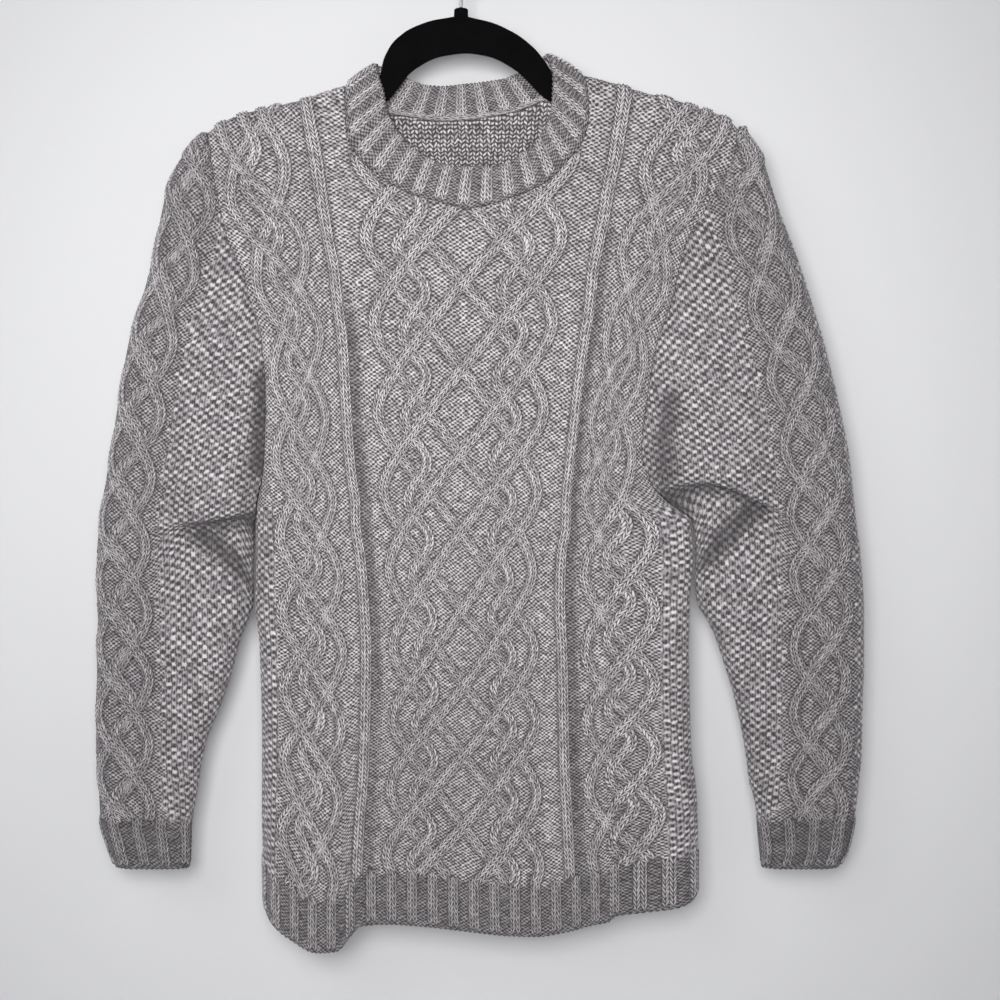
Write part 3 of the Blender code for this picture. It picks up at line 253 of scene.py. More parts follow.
RIB_TAPER = (5.0, 1.0)  # a rib rises and ends over these lengths
RIM_RELIEF = 0.4        # share of the stitches' relief that is left near the outline
BESIDE_RELIEF = 0.5     # what the relief loses, and the cloth sinks, beside a strand
TOP_DROP = 115.0        # the flat length of the body counts from here
QUARTER = math.pi / 2.0
EPS = 1e-6
WELD = 4e-6             # metres within which the points of a closed tube are joined
NO_AREA = 1e-14         # square metres of a face that is dropped
SHORT_RUN = 8           # a strand of no more points than this is left out


# ---------------------------------------------------------------- tables

def curve_through(keys, values, at):
    """Smooth curve through the rows of a table, with no overshoot."""
    keys = np.asarray(keys, float)
    values = np.asarray(values, float)
    span = np.diff(keys)
    grade = np.diff(values) / span
    before, after = grade[:-1], grade[1:]
    same = before * after > 0.0
    one = span[:-1] + 2.0 * span[1:]
    two = 2.0 * span[:-1] + span[1:]
    mean = (one + two) / (one / np.where(same, before, 1.0) + two / np.where(same, after, 1.0))
    slope = np.concatenate([grade[:1], np.where(same, mean, 0.0), grade[-1:]])
    at = np.clip(np.asarray(at, float), keys[0], keys[-1])
    row = np.clip(np.searchsorted(keys, at, side="right") - 1, 0, len(span) - 1)
    t = (at - keys[row]) / span[row]
    start = (2 * t**3 - 3 * t**2 + 1) * values[row] + (t**3 - 2 * t**2 + t) * span[row] * slope[row]
    end = (3 * t**2 - 2 * t**3) * values[row + 1] + (t**3 - t**2) * span[row] * slope[row + 1]
    return start + end


class Table:
    """A short table with named columns; the first column is the key."""

    def __init__(self, names, rows):
        self.names = names.split()
        self.rows = np.array(rows, float)

    def at(self, name, key):
        return curve_through(self.rows[:, 0], self.rows[:, self.names.index(name)], key)


# Where the seams, side cables and twin columns hang.
BODY = Table("drop right_edge right_cable right_column left_column left_cable left_edge", [
    (153, -230, -183, -141, 147, 212, 252), (182, -227, -190, -135, 142, 208, 248),
    (207, -224, -192, -130, 138, 201, 244), (234, -219, -182, -126, 132, 190, 228),
    (261, -213, -172, -122, 128, 179, 214), (283, -207, -166, -118, 123, 172, 201),
    (310, -194, -158, -113, 118, 164, 194), (333, -188, -153, -111, 116, 158, 189),
    (373, -177, -146, -106, 110, 148, 175), (423, -174, -142, -103, 104, 137, 166),
    (468, -175, -140, -100, 99, 131, 161), (495, -178, -138, -97, 96, 130, 168),
    (517, -183, -136, -94, 94, 131, 188), (531, -184, -135, -94, 94, 132, 206),
    (567, -184, -132, -89, 89, 135, 209), (606, -185, -130, -86, 88, 137, 206),
    (648, -181, -129, -84, 90, 137, 205), (747, -179, -130, -86, 92, 138, 207),
    (801, -179, -133, -90, 95, 140, 212), (846, -178, -135, -92, 97, 141, 213),
    (891, -177, -135, -92, 98, 141, 213),
])

# Stitches from the middle to the edge, and how far the edge is turned to the side.
EDGE = Table("drop stitches turn", [
    (150, ARM_STITCH, 40), (459, ARM_STITCH, 40), (495, 41.0, 52), (517, 43.2, 74),
    (531, EDGE_STITCH, 90), (891, EDGE_STITCH, 90),
])

DEPTH = Table("drop front back", [
    (120, 9, 9), (200, 14, 12), (260, 18, 15), (350, 21, 17), (500, 22, 18), (650, 23, 19),
    (800, 25, 20), (891, 27, 21),
])

# Top line of the shoulders, over the hanger.
RIDGE = Table("x drop", [
    (-235, 189), (-227, 182), (-216, 174), (-197, 166), (-179, 161), (-155, 156), (-143, 153),
    (-127, 147), (-105, 140), (-55, 126), (0, 119), (62, 120), (111, 131), (144, 140), (163, 146),
    (192, 153), (207, 158), (229, 165), (241, 171), (248, 178), (256, 188),
])

NECK = {-1: Table("x drop", [
    (-105, 140), (-104, 162), (-103, 181), (-92, 206), (-71, 225), (-42, 241), (-16, 248),
    (5, 253), (24, 250), (46, 243), (79, 227), (95, 210), (109, 192), (115, 169), (114, 148),
    (111, 131),
]), 1: Table("x drop", [
    (-105, 140), (-98, 150), (-86, 157), (-66, 164), (-41, 168), (-16, 171), (21, 168), (57, 160),
    (78, 151), (94, 142), (111, 131),
])}
BAND_LIP = {-1: Table("x drop", [
    (-77, 120), (-74, 133), (-70, 146), (-66, 165), (-53, 188), (-27, 208), (-5, 215), (30, 215),
    (57, 202), (76, 179), (82, 157), (83, 135), (78, 111),
]), 1: Table("x drop", [
    (-77, 120), (-50, 132), (-31, 138), (-18, 139), (2, 137), (21, 135), (39, 132), (50, 128),
    (78, 111),
])}

# How far each part of the hem hangs below its row.
HEM_SAG = Table("stitches sag", [
    (-44.5, -23), (-41, -7), (-36, 8), (-30, 20), (-25, 19), (-22, 6), (-20, -2), (-15, -3),
    (-8, -1), (0, 3), (8, 7), (14, 8), (20, 4), (24.5, -1), (29, -6), (30.5, -11), (35, -13),
    (40, -18), (43, -25), (44.5, -31),
])
SAG_FADE = Table("drop share", [(500, 0.0), (640, 0.12), (760, 0.5), (848, 0.95), (891, 1.0)])

# Folds: from one chart point to another, half width and height (+ stands forward).
FOLD_COLUMNS = "stitch_a drop_a stitch_b drop_b width height"
BODY_FOLDS = {-1: Table(FOLD_COLUMNS, [
    (-19.0, 330, -18.7, 880, 7.5, -5.6), (-27.0, 700, -28.0, 930, 26, 11.0),
    (-40.0, 640, -37.0, 900, 16, 4.0), (23.2, 270, 23.4, 860, 7.5, -5.4),
    (29.5, 760, 30.2, 900, 10, 5.0), (35.5, 770, 36.0, 900, 10, -3.0),
    (-6.0, 560, 10.0, 860, 30, 4.0), (0.0, 280, 2.0, 420, 40, 3.0),
    (-31.0, 250, -33.0, 470, 24, 4.0), (33.0, 240, 31.0, 430, 22, 3.5),
    (-38.0, 520, -42.0, 600, 12, -4.0), (-40.2, 400, -41.6, 510, 6, -5.0),
    (38.0, 480, 40.0, 600, 12, -3.5),
]), 1: Table(FOLD_COLUMNS, [
    (-19.0, 330, -20.0, 880, 12, -3.0), (19.5, 360, 18.5, 860, 12, -3.2),
    (-3.0, 520, -7.0, 880, 34, 4.5), (9.0, 600, 12.0, 900, 20, -3.0),
    (-33.0, 300, -31.0, 560, 26, 4.0), (32.0, 260, 34.0, 520, 24, 4.0),
    (-34.0, 700, -30.0, 900, 22, 5.0), (31.0, 720, 28.0, 900, 24, 4.0),
    (-38.0, 480, -24.0, 590, 14, -3.0), (38.0, 470, 26.0, 580, 14, -3.0),
])}

# One cable round is one full bulge on a side of a cable.
BODY_ROUNDS = Table("drop rounds", [
    (120, -1.6), (180, -0.9), (248, 0), (324, 1), (401, 2), (476, 3), (545, 4), (614, 5),
    (680, 6), (741, 7), (803, 8), (864, 9), (900, 9.6),
])
SLEEVE_ROUNDS = Table("drop rounds", [
    (176, -0.2), (252, 1), (318, 2), (380, 3), (440, 4), (498, 5), (556, 6), (613, 7), (673, 8),
    (732, 9), (788, 10), (842, 11),
])

# Each sleeve: its outer line, the inner line below the underarm, how deep it is,
# and where the middle of its cable lies round the outer edge.
SLEEVE_COLUMNS = "drop outer inner depth cable"
SLEEVE = {-1: Table(SLEEVE_COLUMNS, [
    (177, -231, -180, 7, 0), (184, -235, -180, 9, 2), (194, -242.5, -180, 12, 6),
    (207, -252, -180, 15, 14), (235, -264, -180, 18, 28), (272, -272, -180, 21, 35),
    (317, -282, -180, 23, 36), (371, -298, -180, 24, 36), (423, -307, -180, 25, 36),
    (475, -315, -180, 25, 36), (531, -324, -186.0, 23, 36), (567, -327, -186.6, 21, 36),
    (606, -327, -187.2, 20, 36), (618, -326, -191, 20, 36), (641, -327, -200, 19, 36),
    (669, -327, -207, 18, 36), (696, -328, -216, 17, 36), (732, -328, -230, 16, 35),
    (778, -325, -238, 15, 33), (802, -324, -242, 14, 32), (823, -318, -243, 12, 30),
    (842, -311, -244, 12, 28),
]), 1: Table(SLEEVE_COLUMNS, [
    (173, 252.8, 206, 7, 0), (180, 255.5, 206, 9, 4), (190, 261.5, 206, 12, 10),
    (198, 267.5, 206, 14, 18), (219, 275, 206, 18, 34), (253, 286, 206, 21, 44),
    (295, 302, 206, 23, 48), (332, 314, 206, 24, 50), (379, 328, 206, 25, 52),
    (421, 338, 206, 25, 52), (470, 348, 206, 25, 52), (531, 355, 208.6, 23, 52),
    (562, 359, 211.4, 21, 52), (589, 361, 210.4, 20, 52), (606, 362, 213, 20, 52),
    (627, 362, 225, 19, 52), (664, 362, 238, 18, 52), (691, 361, 246, 17, 50),
    (740, 360, 256, 16, 48), (764, 358, 259, 15, 47), (789, 355, 265, 14, 45),
    (804, 353, 266, 13, 43), (826, 348, 268, 12, 40), (842, 340, 270, 12, 38),
])}

# The underarm pouch rolls under along this edge ("across" runs 0 outside to 1 at the seam).
POUCH = {-1: Table("across edge", [(0.3, 533), (0.6, 531), (0.8, 526), (1.0, 517)]),
         1: Table("across edge", [(0.3, 527), (0.5, 516), (0.75, 496), (1.0, 500)])}
POUCH_TOP = 340.0       # the cloth begins to swell forward at this drop,
POUCH_FORWARD = 17.0    # by this much in the end,
POUCH_REJOIN = 100.0    # and is back in line this far past the profile
POUCH_PROFILE = Table("row lift inward", [
    (-8.5, 0, 0), (0, 0.8, 3.0), (8.5, 5.9, 10), (14.5, 11.3, 15.5), (21, 14.8, 19.8),
    (28, 15.6, 22),
])

SLEEVE_FOLD_COLUMNS = "across_a drop_a across_b drop_b width height"
SLEEVE_FOLDS = {-1: Table(SLEEVE_FOLD_COLUMNS, [
    (0.63, 556, 0.92, 592, 11, -7.5), (0.62, 585, 0.95, 640, 12, 4.0),
    (0.97, 400, 0.97, 490, 9, -7.0), (0.55, 250, 0.50, 420, 22, 3.5),
    (0.35, 640, 0.55, 800, 20, 3.0), (-0.55, 420, -0.90, 560, 16, -6.0),
    (-0.50, 300, -0.62, 470, 24, 4.0), (-0.45, 620, -0.60, 790, 18, 3.5),
    (-0.75, 560, -0.95, 620, 14, 4.0),
]), 1: Table(SLEEVE_FOLD_COLUMNS, [
    (0.58, 532, 0.90, 576, 11, -7.5), (0.60, 560, 0.92, 620, 12, 4.0),
    (0.88, 415, 0.90, 500, 9, -6.0), (0.60, 240, 0.55, 390, 22, 3.5),
    (0.40, 640, 0.55, 790, 20, 3.0), (-0.52, 400, -0.90, 540, 16, -6.0),
    (-0.48, 290, -0.60, 450, 24, 4.0), (-0.40, 600, -0.60, 780, 18, 3.5),
    (-0.78, 540, -0.95, 610, 14, 4.0),
])}

HANGER_OUTLINE = Table("x drop", [
    (-202, 173), (-140, 156.4), (-84, 141.4), (-75, 137), (-72.5, 130), (-70, 116), (-62, 101),
    (-48, 89.5), (-28, 81.5), (-7, 78.2), (-6.3, 77.6), (-6.3, 70), (6.3, 70), (6.3, 77.6),
    (7, 78.4), (30, 83.5), (52, 94.5), (68, 108), (78, 122), (83, 131), (90, 133.2), (192, 157.5),
    (232, 171.2), (238, 177.5), (234, 186), (160, 173), (92, 160), (74, 151), (62, 138),
    (51, 127), (30, 114.5), (5, 110), (-24, 114.5), (-45, 127), (-55, 140), (-66, 154),
    (-84, 163), (-140, 174), (-202, 187), (-207, 180),
])


# ---------------------------------------------------------------- the hung shape

def smooth(t):
    t = np.clip(t, 0.0, 1.0)
    return t * t * (3.0 - 2.0 * t)


def unit(way):
    """Unit vectors."""
    return way / np.maximum(np.linalg.norm(way, axis=-1, keepdims=True), 1e-9)


def coords(*axes):
    """Points from their coordinates, each of which may be one number for all of them."""
    return np.stack(np.broadcast_arrays(*axes), -1)


def quarter_arc(a, b):
    """Length of a quarter of an ellipse, near enough."""
    return QUARTER * np.sqrt((a * a + b * b) / 2.0)


SIDE_ARC = float(quarter_arc(SIDE_ROUND, SIDE_DEPTH))
RIDGE_ARC = float(quarter_arc(SHOULDER_ROUND, SHOULDER_ROUND))


def fold_height(folds, scale, a, b):
    """Sum of soft ridges and troughs, each along a line on the chart."""
    total = np.zeros(np.shape(a))
    for a0, b0, a1, b1, width, height in folds.rows:
        along = np.array([(a1 - a0) * scale, b1 - b0])
        px = (a - a0) * scale
        py = b - b0
        t = (px * along[0] + py * along[1]) / (along @ along)
        tc = np.clip(t, 0.0, 1.0)
        gap = (px - tc * along[0]) ** 2 + (py - tc * along[1]) ** 2
        ends = smooth((t + FOLD_OVER) / FOLD_SOFT) * smooth((1.0 + FOLD_OVER - t) / FOLD_SOFT)
        total = total + height * ends * np.exp(-gap / (width * width))
    return total


def chart_nodes(drop):
    """Stitches of the six chart lines at this drop, and where they lie along the cloth."""
    turn = np.radians(EDGE.at("turn", drop))
    bend = SIDE_ARC * turn / QUARTER
    right_flat = BODY.at("right_edge", drop) + SIDE_ROUND * np.sin(turn)
    left_flat = BODY.at("left_edge", drop) - SIDE_ROUND * np.sin(turn)
    edge = EDGE.at("stitches", drop)
    stitches = [-edge, -CABLE_AT, -CENTRE_HALF, CENTRE_HALF, CABLE_AT, edge]
    between = [BODY.at(line, drop) for line in BODY.names[2:6]]
    return stitches, [right_flat - bend, *between, left_flat + bend], right_flat, left_flat


def pieces_along(key, keys, values):
    """Straight-line interpolation where every point has its own nodes."""
    out = values[0] + (key - keys[0]) * (values[1] - values[0]) / (keys[1] - keys[0])
    for i in range(1, len(keys) - 1):
        rate = (values[i + 1] - values[i]) / (keys[i + 1] - keys[i])
        out = np.where(key > keys[i], values[i] + (key - keys[i]) * rate, out)
    return out


def over_ridge(x, drop):
    """The shoulder ridge at x, and how far the cloth has bent over it at this drop."""
    ridge = RIDGE.at("drop", x)
    height = np.clip(drop - (ridge + SHOULDER_ROUND - RIDGE_ARC), 0.0, None)
    return ridge, np.clip(1.0 - height / RIDGE_ARC, 0.0, 1.0) * QUARTER


def body_point(face, stitch, drop):
    """Outer ground of the front (face -1) or back (face +1), in millimetres."""
    stitch = np.asarray(stitch, float)
    drop = np.asarray(drop, float)
    stitches, across, right_flat, left_flat = chart_nodes(drop)
    q = pieces_along(stitch, stitches, across)
    over_right = np.maximum(right_flat - q, 0.0) / SIDE_ARC * QUARTER
    over_left = np.maximum(q - left_flat, 0.0) / SIDE_ARC * QUARTER
    x = np.clip(q, right_flat, left_flat)
    x = x - SIDE_ROUND * np.sin(over_right) + SIDE_ROUND * np.sin(over_left)
    side = np.cos(over_right) * np.cos(over_left)
    ridge, bend = over_ridge(x, drop)
    hung = np.where(bend > 0.0, ridge + SHOULDER_ROUND * (1.0 - np.sin(bend)), drop)
    full = DEPTH.at("front" if face < 0 else "back", drop)
    blend = smooth((drop - ridge) / SHOULDER_BLEND)
    depth = SHOULDER_ROUND + (full - SHOULDER_ROUND) * blend
    depth = depth + blend * fold_height(BODY_FOLDS[face], STITCH, stitch, drop)
    y = face * (SEAM_GAP / 2.0 + depth * side * np.cos(bend))
    sag = HEM_SAG.at("sag", stitch) * SAG_FADE.at("share", drop)
    return coords(x, y, -(hung + sag))


def outward(surface, turn, a, b):
    """Unit normal of a surface function; turn is +1 or -1 so that it points out."""
    step = 0.5      # half the distance the slope is measured over
    da = surface(a + step, b) - surface(a - step, b)
    db = surface(a, b + step) - surface(a, b - step)
    return unit(turn * np.cross(da, db))


def seam_direction(face, stitch, drop, side_sign):
    """Direction from the outside to the inside of the wall at a seam."""
    _, bend = over_ridge(body_point(face, stitch, drop)[..., 0], drop)
    turn = np.clip((EDGE.at("turn", drop) - 40.0) / 50.0, 0.0, 1.0) * QUARTER
    turn = turn * np.abs(side_sign)
    return coords(-side_sign * np.sin(turn), -face * np.cos(turn) * np.cos(bend),
                  -np.sin(bend) * np.cos(turn))


def sleeve_frame(side, face, drop):
    """Ends and lengths of one row of a sleeve, on its front or back."""
    table = SLEEVE[side]
    arm = drop < UNDERARM_DROP
    edge = EDGE.at("stitches", drop)
    end = body_point(face, side * edge, np.minimum(drop, UNDERARM_DROP))
    inner = coords(table.at("inner", drop), 0.0, -drop)
    end = np.where(arm[..., None], end + np.array([side * SEAM_GAP, 0.0, 0.0]), inner)
    outer_x = table.at("outer", drop)
    outer_drop = drop + CAP_LIFT * np.exp(-(drop - table.rows[0, 0]) / CAP_FADE)
    width = np.abs(outer_x - end[..., 0])
    rounded = np.minimum(SLEEVE_ROUND, 0.45 * width)
    depth = table.at("depth", drop)
    turn = np.where(arm, np.radians(EDGE.at("turn", drop)), QUARTER)
    bend = quarter_arc(rounded, depth)
    flat = width - rounded - rounded * np.sin(turn)
    total = bend + flat + bend * turn / QUARTER
    return end, outer_x, outer_drop, rounded, depth, turn, bend, flat, total


def sleeve_limits(side, drop):
    """Chart limits of a sleeve row: back edge and front edge."""
    drop = np.asarray(drop, float)
    cable = SLEEVE[side].at("cable", drop)
    return -sleeve_frame(side, 1, drop)[-1] - cable, sleeve_frame(side, -1, drop)[-1] - cable


def pouch_map(side, across, drop):
    """Lift and forward push of the cloth at the underarm pouch."""
    edge = POUCH[side].at("edge", np.clip(across, *POUCH[side].rows[[0, -1], 0]))
    # It begins a third of the way across, and ends short of the seam.
    share = smooth((across - 0.36) / 0.24) * smooth((1.0 - across) / 0.17)
    rise = smooth((drop - POUCH_TOP) / (edge - POUCH_TOP - 15.0))
    past = drop - edge
    share = share * (1.0 - smooth((past - POUCH_PROFILE.rows[-1, 0]) / POUCH_REJOIN))
    push = POUCH_FORWARD * rise - POUCH_PROFILE.at("inward", past)
    return POUCH_PROFILE.at("lift", past) * share, push * share


def sleeve_point(side, around, drop):
    """Outer ground of a sleeve, in millimetres; around is measured from its cable."""
    around = np.asarray(around, float)
    drop = np.asarray(drop, float) + 0.0 * around
    tau = around + SLEEVE[side].at("cable", drop)
    front = tau >= 0.0
    near = sleeve_frame(side, -1, drop)
    far = sleeve_frame(side, 1, drop)
    pick = [np.where(front[..., None] if np.ndim(n) > np.ndim(front) else front, n, f)
            for n, f in zip(near, far)]
    end, outer_x, outer_drop, rounded, depth, turn, bend, flat, total = pick
    face = np.where(front, -1.0, 1.0)
    u = np.minimum(np.abs(tau), total)
    first = np.clip(u / bend, 0.0, 1.0) * QUARTER
    middle = np.clip(u - bend, 0.0, flat)
    last = np.clip((u - bend - flat) / bend, 0.0, 1.0) * QUARTER
    run = rounded * (1.0 - np.cos(first)) + middle + rounded * np.sin(last)
    x = outer_x - side * run
    level = np.sin(first) * np.cos(last)
    share = u / np.maximum(total, EPS)
    settle = smooth((share - 0.45) / 0.55)
    y = face * depth * level + (end[..., 1] - face * depth * np.cos(turn)) * settle
    x = x + (end[..., 0] - (outer_x - side * (rounded + flat + rounded * np.sin(turn)))) * share
    z = -outer_drop + (end[..., 2] + outer_drop) * smooth(share)
    scale = np.maximum(np.abs(outer_x - end[..., 0]), 1.0)
    height = fold_height(SLEEVE_FOLDS[side], FOLD_SPAN, -face * share, drop)
    # The folds die out towards the seam, the shoulder and where the sleeve is narrow.
    calm = smooth((1.0 - share) / 0.2) * smooth((drop - 190.0) / 60.0) * smooth(scale / 60.0)
    lift, push = pouch_map(side, np.where(front, share, 0.0), drop)
    y = y + face * (height * calm + push) * np.sqrt(np.clip(level, 0.0, 1.0))
    return coords(x, y, z + lift)


# ---------------------------------------------------------------- the chart

def plait(count, middle, half, rounds, start, stop, offset, rounding):
    """Closed plait of equal strands: each swings from side to side in turn."""
    swing = count / 2.0
    reach = math.sqrt((swing / 2.0) ** 2 + rounding**2) - rounding
    drops = np.arange(start, stop, ROW)
    rows = rounds.at("rounds", drops)
    lines = []
    for strand in range(count):
        phase = np.mod((rows - offset - strand) / swing, 2.0)
        phase = np.where(phase > 1.0, 2.0 - phase, phase) * swing
        left = phase < swing / 2.0
        gap = np.where(left, phase, swing - phase)
        bow = (np.sqrt(gap**2 + rounding**2) - rounding) / reach * half
        lines.append(coords(middle + np.where(left, bow - half, half - bow), drops))
    return lines


def serpentine(middle, half, rounds, start, stop, offset):
    """One strand that winds gently about a line."""
    drops = np.arange(start, stop, ROW)
    rows = rounds.at("rounds", drops) - offset
    return [coords(middle - half * np.cos(2.0 * math.pi * rows), drops)]


def rib_lines(low_at, high_at, low_drop, high_drop):
    """Straight chart lines down the middle of each knit rib."""
    share = np.linspace(0.0, 1.0, 40)[:, None]
    top, foot = coords(low_at, low_drop), coords(high_at, high_drop)
    return [a + (b - a) * share for a, b in zip(top, foot)]


def cross_strands(lines, leans):
    """Lift and sink along each strand where it goes over or under another."""
    drops = lines[0][:, 1]
    up = np.zeros((len(lines), len(drops)))
    down = np.zeros((len(lines), len(drops)))
    for i in range(len(lines)):
        for j in range(i + 1, len(lines)):
            gap = lines[i][:, 0] - lines[j][:, 0]
            for m in np.nonzero(gap[:-1] * gap[1:] < 0.0)[0]:
                at = drops[m] + (drops[m + 1] - drops[m]) * gap[m] / (gap[m] - gap[m + 1])
                turn = gap[m + 1] - gap[m]
                top, low = (i, j) if turn * leans[i] < 0.0 else (j, i)
                shape = np.exp(-((drops - at) / CROSS_REACH) ** 2)
                up[top] = np.maximum(up[top], shape)
                down[low] = np.maximum(down[low], shape)
    return up, down


def beside_strands(chart, lines, half):
    """How much the cloth is drawn down beside the strands at each point, from 0 to 1."""
    low = np.zeros(len(chart))
    for line in lines:
        slope = np.abs(np.gradient(line[:, 0], line[:, 1]))
        lean = np.interp(chart[:, 1], line[:, 1], 1.0 / np.hypot(1.0, slope))
        away = np.abs(chart[:, 0] - np.interp(chart[:, 1], line[:, 1], line[:, 0])) * lean
        covers = (chart[:, 1] > line[0, 1]) & (chart[:, 1] < line[-1, 1])
        low = np.maximum(low, (1.0 - smooth((away - half + 1.0) / BESIDE)) * covers)
    return low


def chart_drop(x, drop):
    """Chart row of a hung point near the shoulder ridge."""
    ridge = RIDGE.at("drop", x)
    rise = np.clip((drop - ridge) / SHOULDER_ROUND, 0.0, 1.0)
    rolled = ridge + SHOULDER_ROUND - RIDGE_ARC * np.arcsin(1.0 - rise) / QUARTER
    return np.where(drop - ridge < SHOULDER_ROUND, rolled, drop)


def stitch_at(x, drop):
    """Chart stitch of a point at this drop."""
    stitches, across, _, _ = chart_nodes(drop)
    return pieces_along(x, across, stitches)


def on_chart(x, drop):
    """Chart points of hung points near the shoulder ridge."""
    rows = chart_drop(x, drop)
    return coords(stitch_at(x, rows) * STITCH, rows)


def tip_drop(side):
    """Chart row where the armhole seam reaches the shoulder ridge."""
    drops = np.linspace(165.0, 195.0, 601)
    x = BODY.at("right_edge" if side < 0 else "left_edge", drops)
    gap = np.abs(drops - (RIDGE.at("drop", x) + SHOULDER_ROUND - RIDGE_ARC))
    return float(drops[np.argmin(gap)])


def even_path(rows, count):
    """Evenly spaced points along the curve through some points, and their lengths."""
    keys = np.concatenate([[0.0], np.cumsum(np.linalg.norm(np.diff(rows, axis=0), axis=1))])
    at = np.linspace(0.0, keys[-1], count + 1)
    return np.stack([curve_through(keys, column, at) for column in rows.T], -1), at


def points_inside(points, loop):
    """Which points lie inside a closed outline."""
    a = loop
    b = np.roll(loop, -1, axis=0)
    rise = b[:, 1] - a[:, 1]
    slope = (b[:, 0] - a[:, 0]) / np.where(np.abs(rise) < EPS, EPS, rise)
    found = []
    for k in range(0, len(points), 1500):
        x, y = points[k:k + 1500, :, None].transpose(1, 0, 2)
        cuts = (a[None, :, 1] > y) != (b[None, :, 1] > y)
        before = x < a[None, :, 0] + (y - a[None, :, 1]) * slope[None]
        found.append((cuts & before).sum(1) % 2 == 1)
    return np.concatenate(found)


def nearest_on(points, loop):
    """Nearest places on a closed outline."""
    along = np.roll(loop, -1, axis=0) - loop
    offset = points[:, None] - loop[None]
    square = np.maximum((along * along).sum(-1), EPS)
    t = np.clip((offset * along[None]).sum(-1) / square[None], 0.0, 1.0)
    spot = loop[None] + t[..., None] * along[None]
    pick = ((points[:, None] - spot) ** 2).sum(-1).argmin(1)
    return spot[np.arange(len(points)), pick]


def grid_inside(loop, drops, spots):
    """Which points of a grid of rows and columns lie inside a closed outline."""
    a = loop
    b = np.roll(loop, -1, axis=0)
    found = np.zeros((len(drops), len(spots)), bool)
    for i, drop in enumerate(drops):
        cut = (a[:, 1] > drop) != (b[:, 1] > drop)
        p, q = a[cut], b[cut]
        at = np.sort(p[:, 0] + (drop - p[:, 1]) / (q[:, 1] - p[:, 1]) * (q[:, 0] - p[:, 0]))
        found[i] = np.searchsorted(at, spots) % 2 == 1
    return found


def roomy_grid(loop, drops, spots, room):
    """Which grid points lie inside an outline with some room to its lines."""
    inner = grid_inside(loop, drops, spots)
    for shift in (-room, room):
        inner &= grid_inside(loop, drops + shift, spots)
        inner &= grid_inside(loop, drops, spots + shift)
    return inner


def triangulate(points, edges):
    """Constrained triangles inside the edges, with the given points' own numbers."""
    _, _, faces, origins, _, _ = delaunay_2d_cdt([Vector(p) for p in points], edges, [], 1, 1e-5)
    number = np.array([o[0] if o else -1 for o in origins])
    faces = number[np.array([tuple(f) for f in faces])]
    return faces[(faces >= 0).all(1)]


def fill_outline(loop, drops, spots):
    """Grid cells inside the outline, and triangles that join them to it.

    Returns the chart points, quads and triangles, and each point's row and column
    (-1 for the points of the outline, which come first).
    """
    inner = roomy_grid(loop, drops, spots, CLEAR)
    cells = inner[:-1, :-1] & inner[1:, :-1] & inner[:-1, 1:] & inner[1:, 1:]
    used = np.zeros(inner.shape, bool)
    for part in (used[:-1, :-1], used[1:, :-1], used[:-1, 1:], used[1:, 1:]):
        part |= cells
    index = np.full(inner.shape, -1)
    index[used] = np.arange(used.sum()) + len(loop)
    row, column = np.nonzero(used)
    r, c = np.nonzero(cells)
    quads = np.stack([index[r, c], index[r, c + 1], index[r + 1, c + 1], index[r + 1, c]], -1)
    border_cells = np.pad(cells, 1)
    edges = []
    for change, down, over in ((border_cells[1:, 1:-1] != border_cells[:-1, 1:-1], 0, 1),
                               (border_cells[1:-1, 1:] != border_cells[1:-1, :-1], 1, 0)):
        r, c = np.nonzero(change)
        edges.append(coords(index[r, c], index[r + down, c + over]))
    points = np.concatenate([loop, coords(spots[column], drops[row])])
    border, place = np.unique(np.concatenate(edges), return_inverse=True)
    ring = np.arange(len(loop))
    keep = np.concatenate([ring, border])
    lines = np.concatenate([coords(ring, np.roll(ring, -1)), place.reshape(-1, 2) + len(loop)])
    band = keep[triangulate(points[keep], [tuple(int(k) for k in e) for e in lines])]
    middle = points[band].mean(1)
    at_row = np.clip(np.searchsorted(drops, middle[:, 1]) - 1, 0, len(drops) - 2)
    at_column = np.clip(np.searchsorted(spots, middle[:, 0]) - 1, 0, len(spots) - 2)
    covered = cells[at_row, at_column] & (middle[:, 0] > spots[0]) & (middle[:, 0] < spots[-1])
    covered &= (middle[:, 1] > drops[0]) & (middle[:, 1] < drops[-1])
    row, column = [np.concatenate([np.full(len(loop), -1), place]) for place in (row, column)]
    return points, [quads, band[~covered]], row, column


# ---------------------------------------------------------------- knitting

# Across one strand of two knit columns: place, share of its height, how far its
# stitches point up at that place (in rows), how much each stitch swells there, and its
# painted shade there (share of colour kept), darkest at its sunk edges and middle groove.
STRAND = Table("across share point swell tone", [
    (-1.00, -0.45, 1.00, 0.0, 0.45), (-0.77, 0.80, 0.56, 1.0, 1.00),
    (-0.50, 0.70, 0.00, 0.6, 0.90), (-0.23, 1.00, 0.56, 1.0, 1.00),
    (0.00, 0.68, 1.00, 0.3, 0.75), (0.23, 1.00, 0.56, 1.0, 1.00),
    (0.50, 0.70, 0.00, 0.6, 0.90), (0.77, 0.80, 0.56, 1.0, 1.00),
    (1.00, -0.45, 1.00, 0.0, 0.45),
])


def on_cloth(surface, turn, chart, height):
    """Places at a height over the cloth's ground, in millimetres."""
    a, b = chart[..., 0], chart[..., 1]
    return surface(a, b) + outward(surface, turn, a, b) * np.asarray(height)[..., None]


def row_drops(rounds, rows, low, high):
    """Drop of every half row of the knitting."""
    keys = np.linspace(rounds.rows[0, 0], rounds.rows[-1, 0], 4000)
    counts = rounds.at("rounds", keys) * rows * 2.0
    marks = np.arange(math.ceil(counts[0]), math.floor(counts[-1]) + 1)
    drops = np.interp(marks, counts, keys)
    keep = (drops > low) & (drops < high)
    return drops[keep], marks[keep]


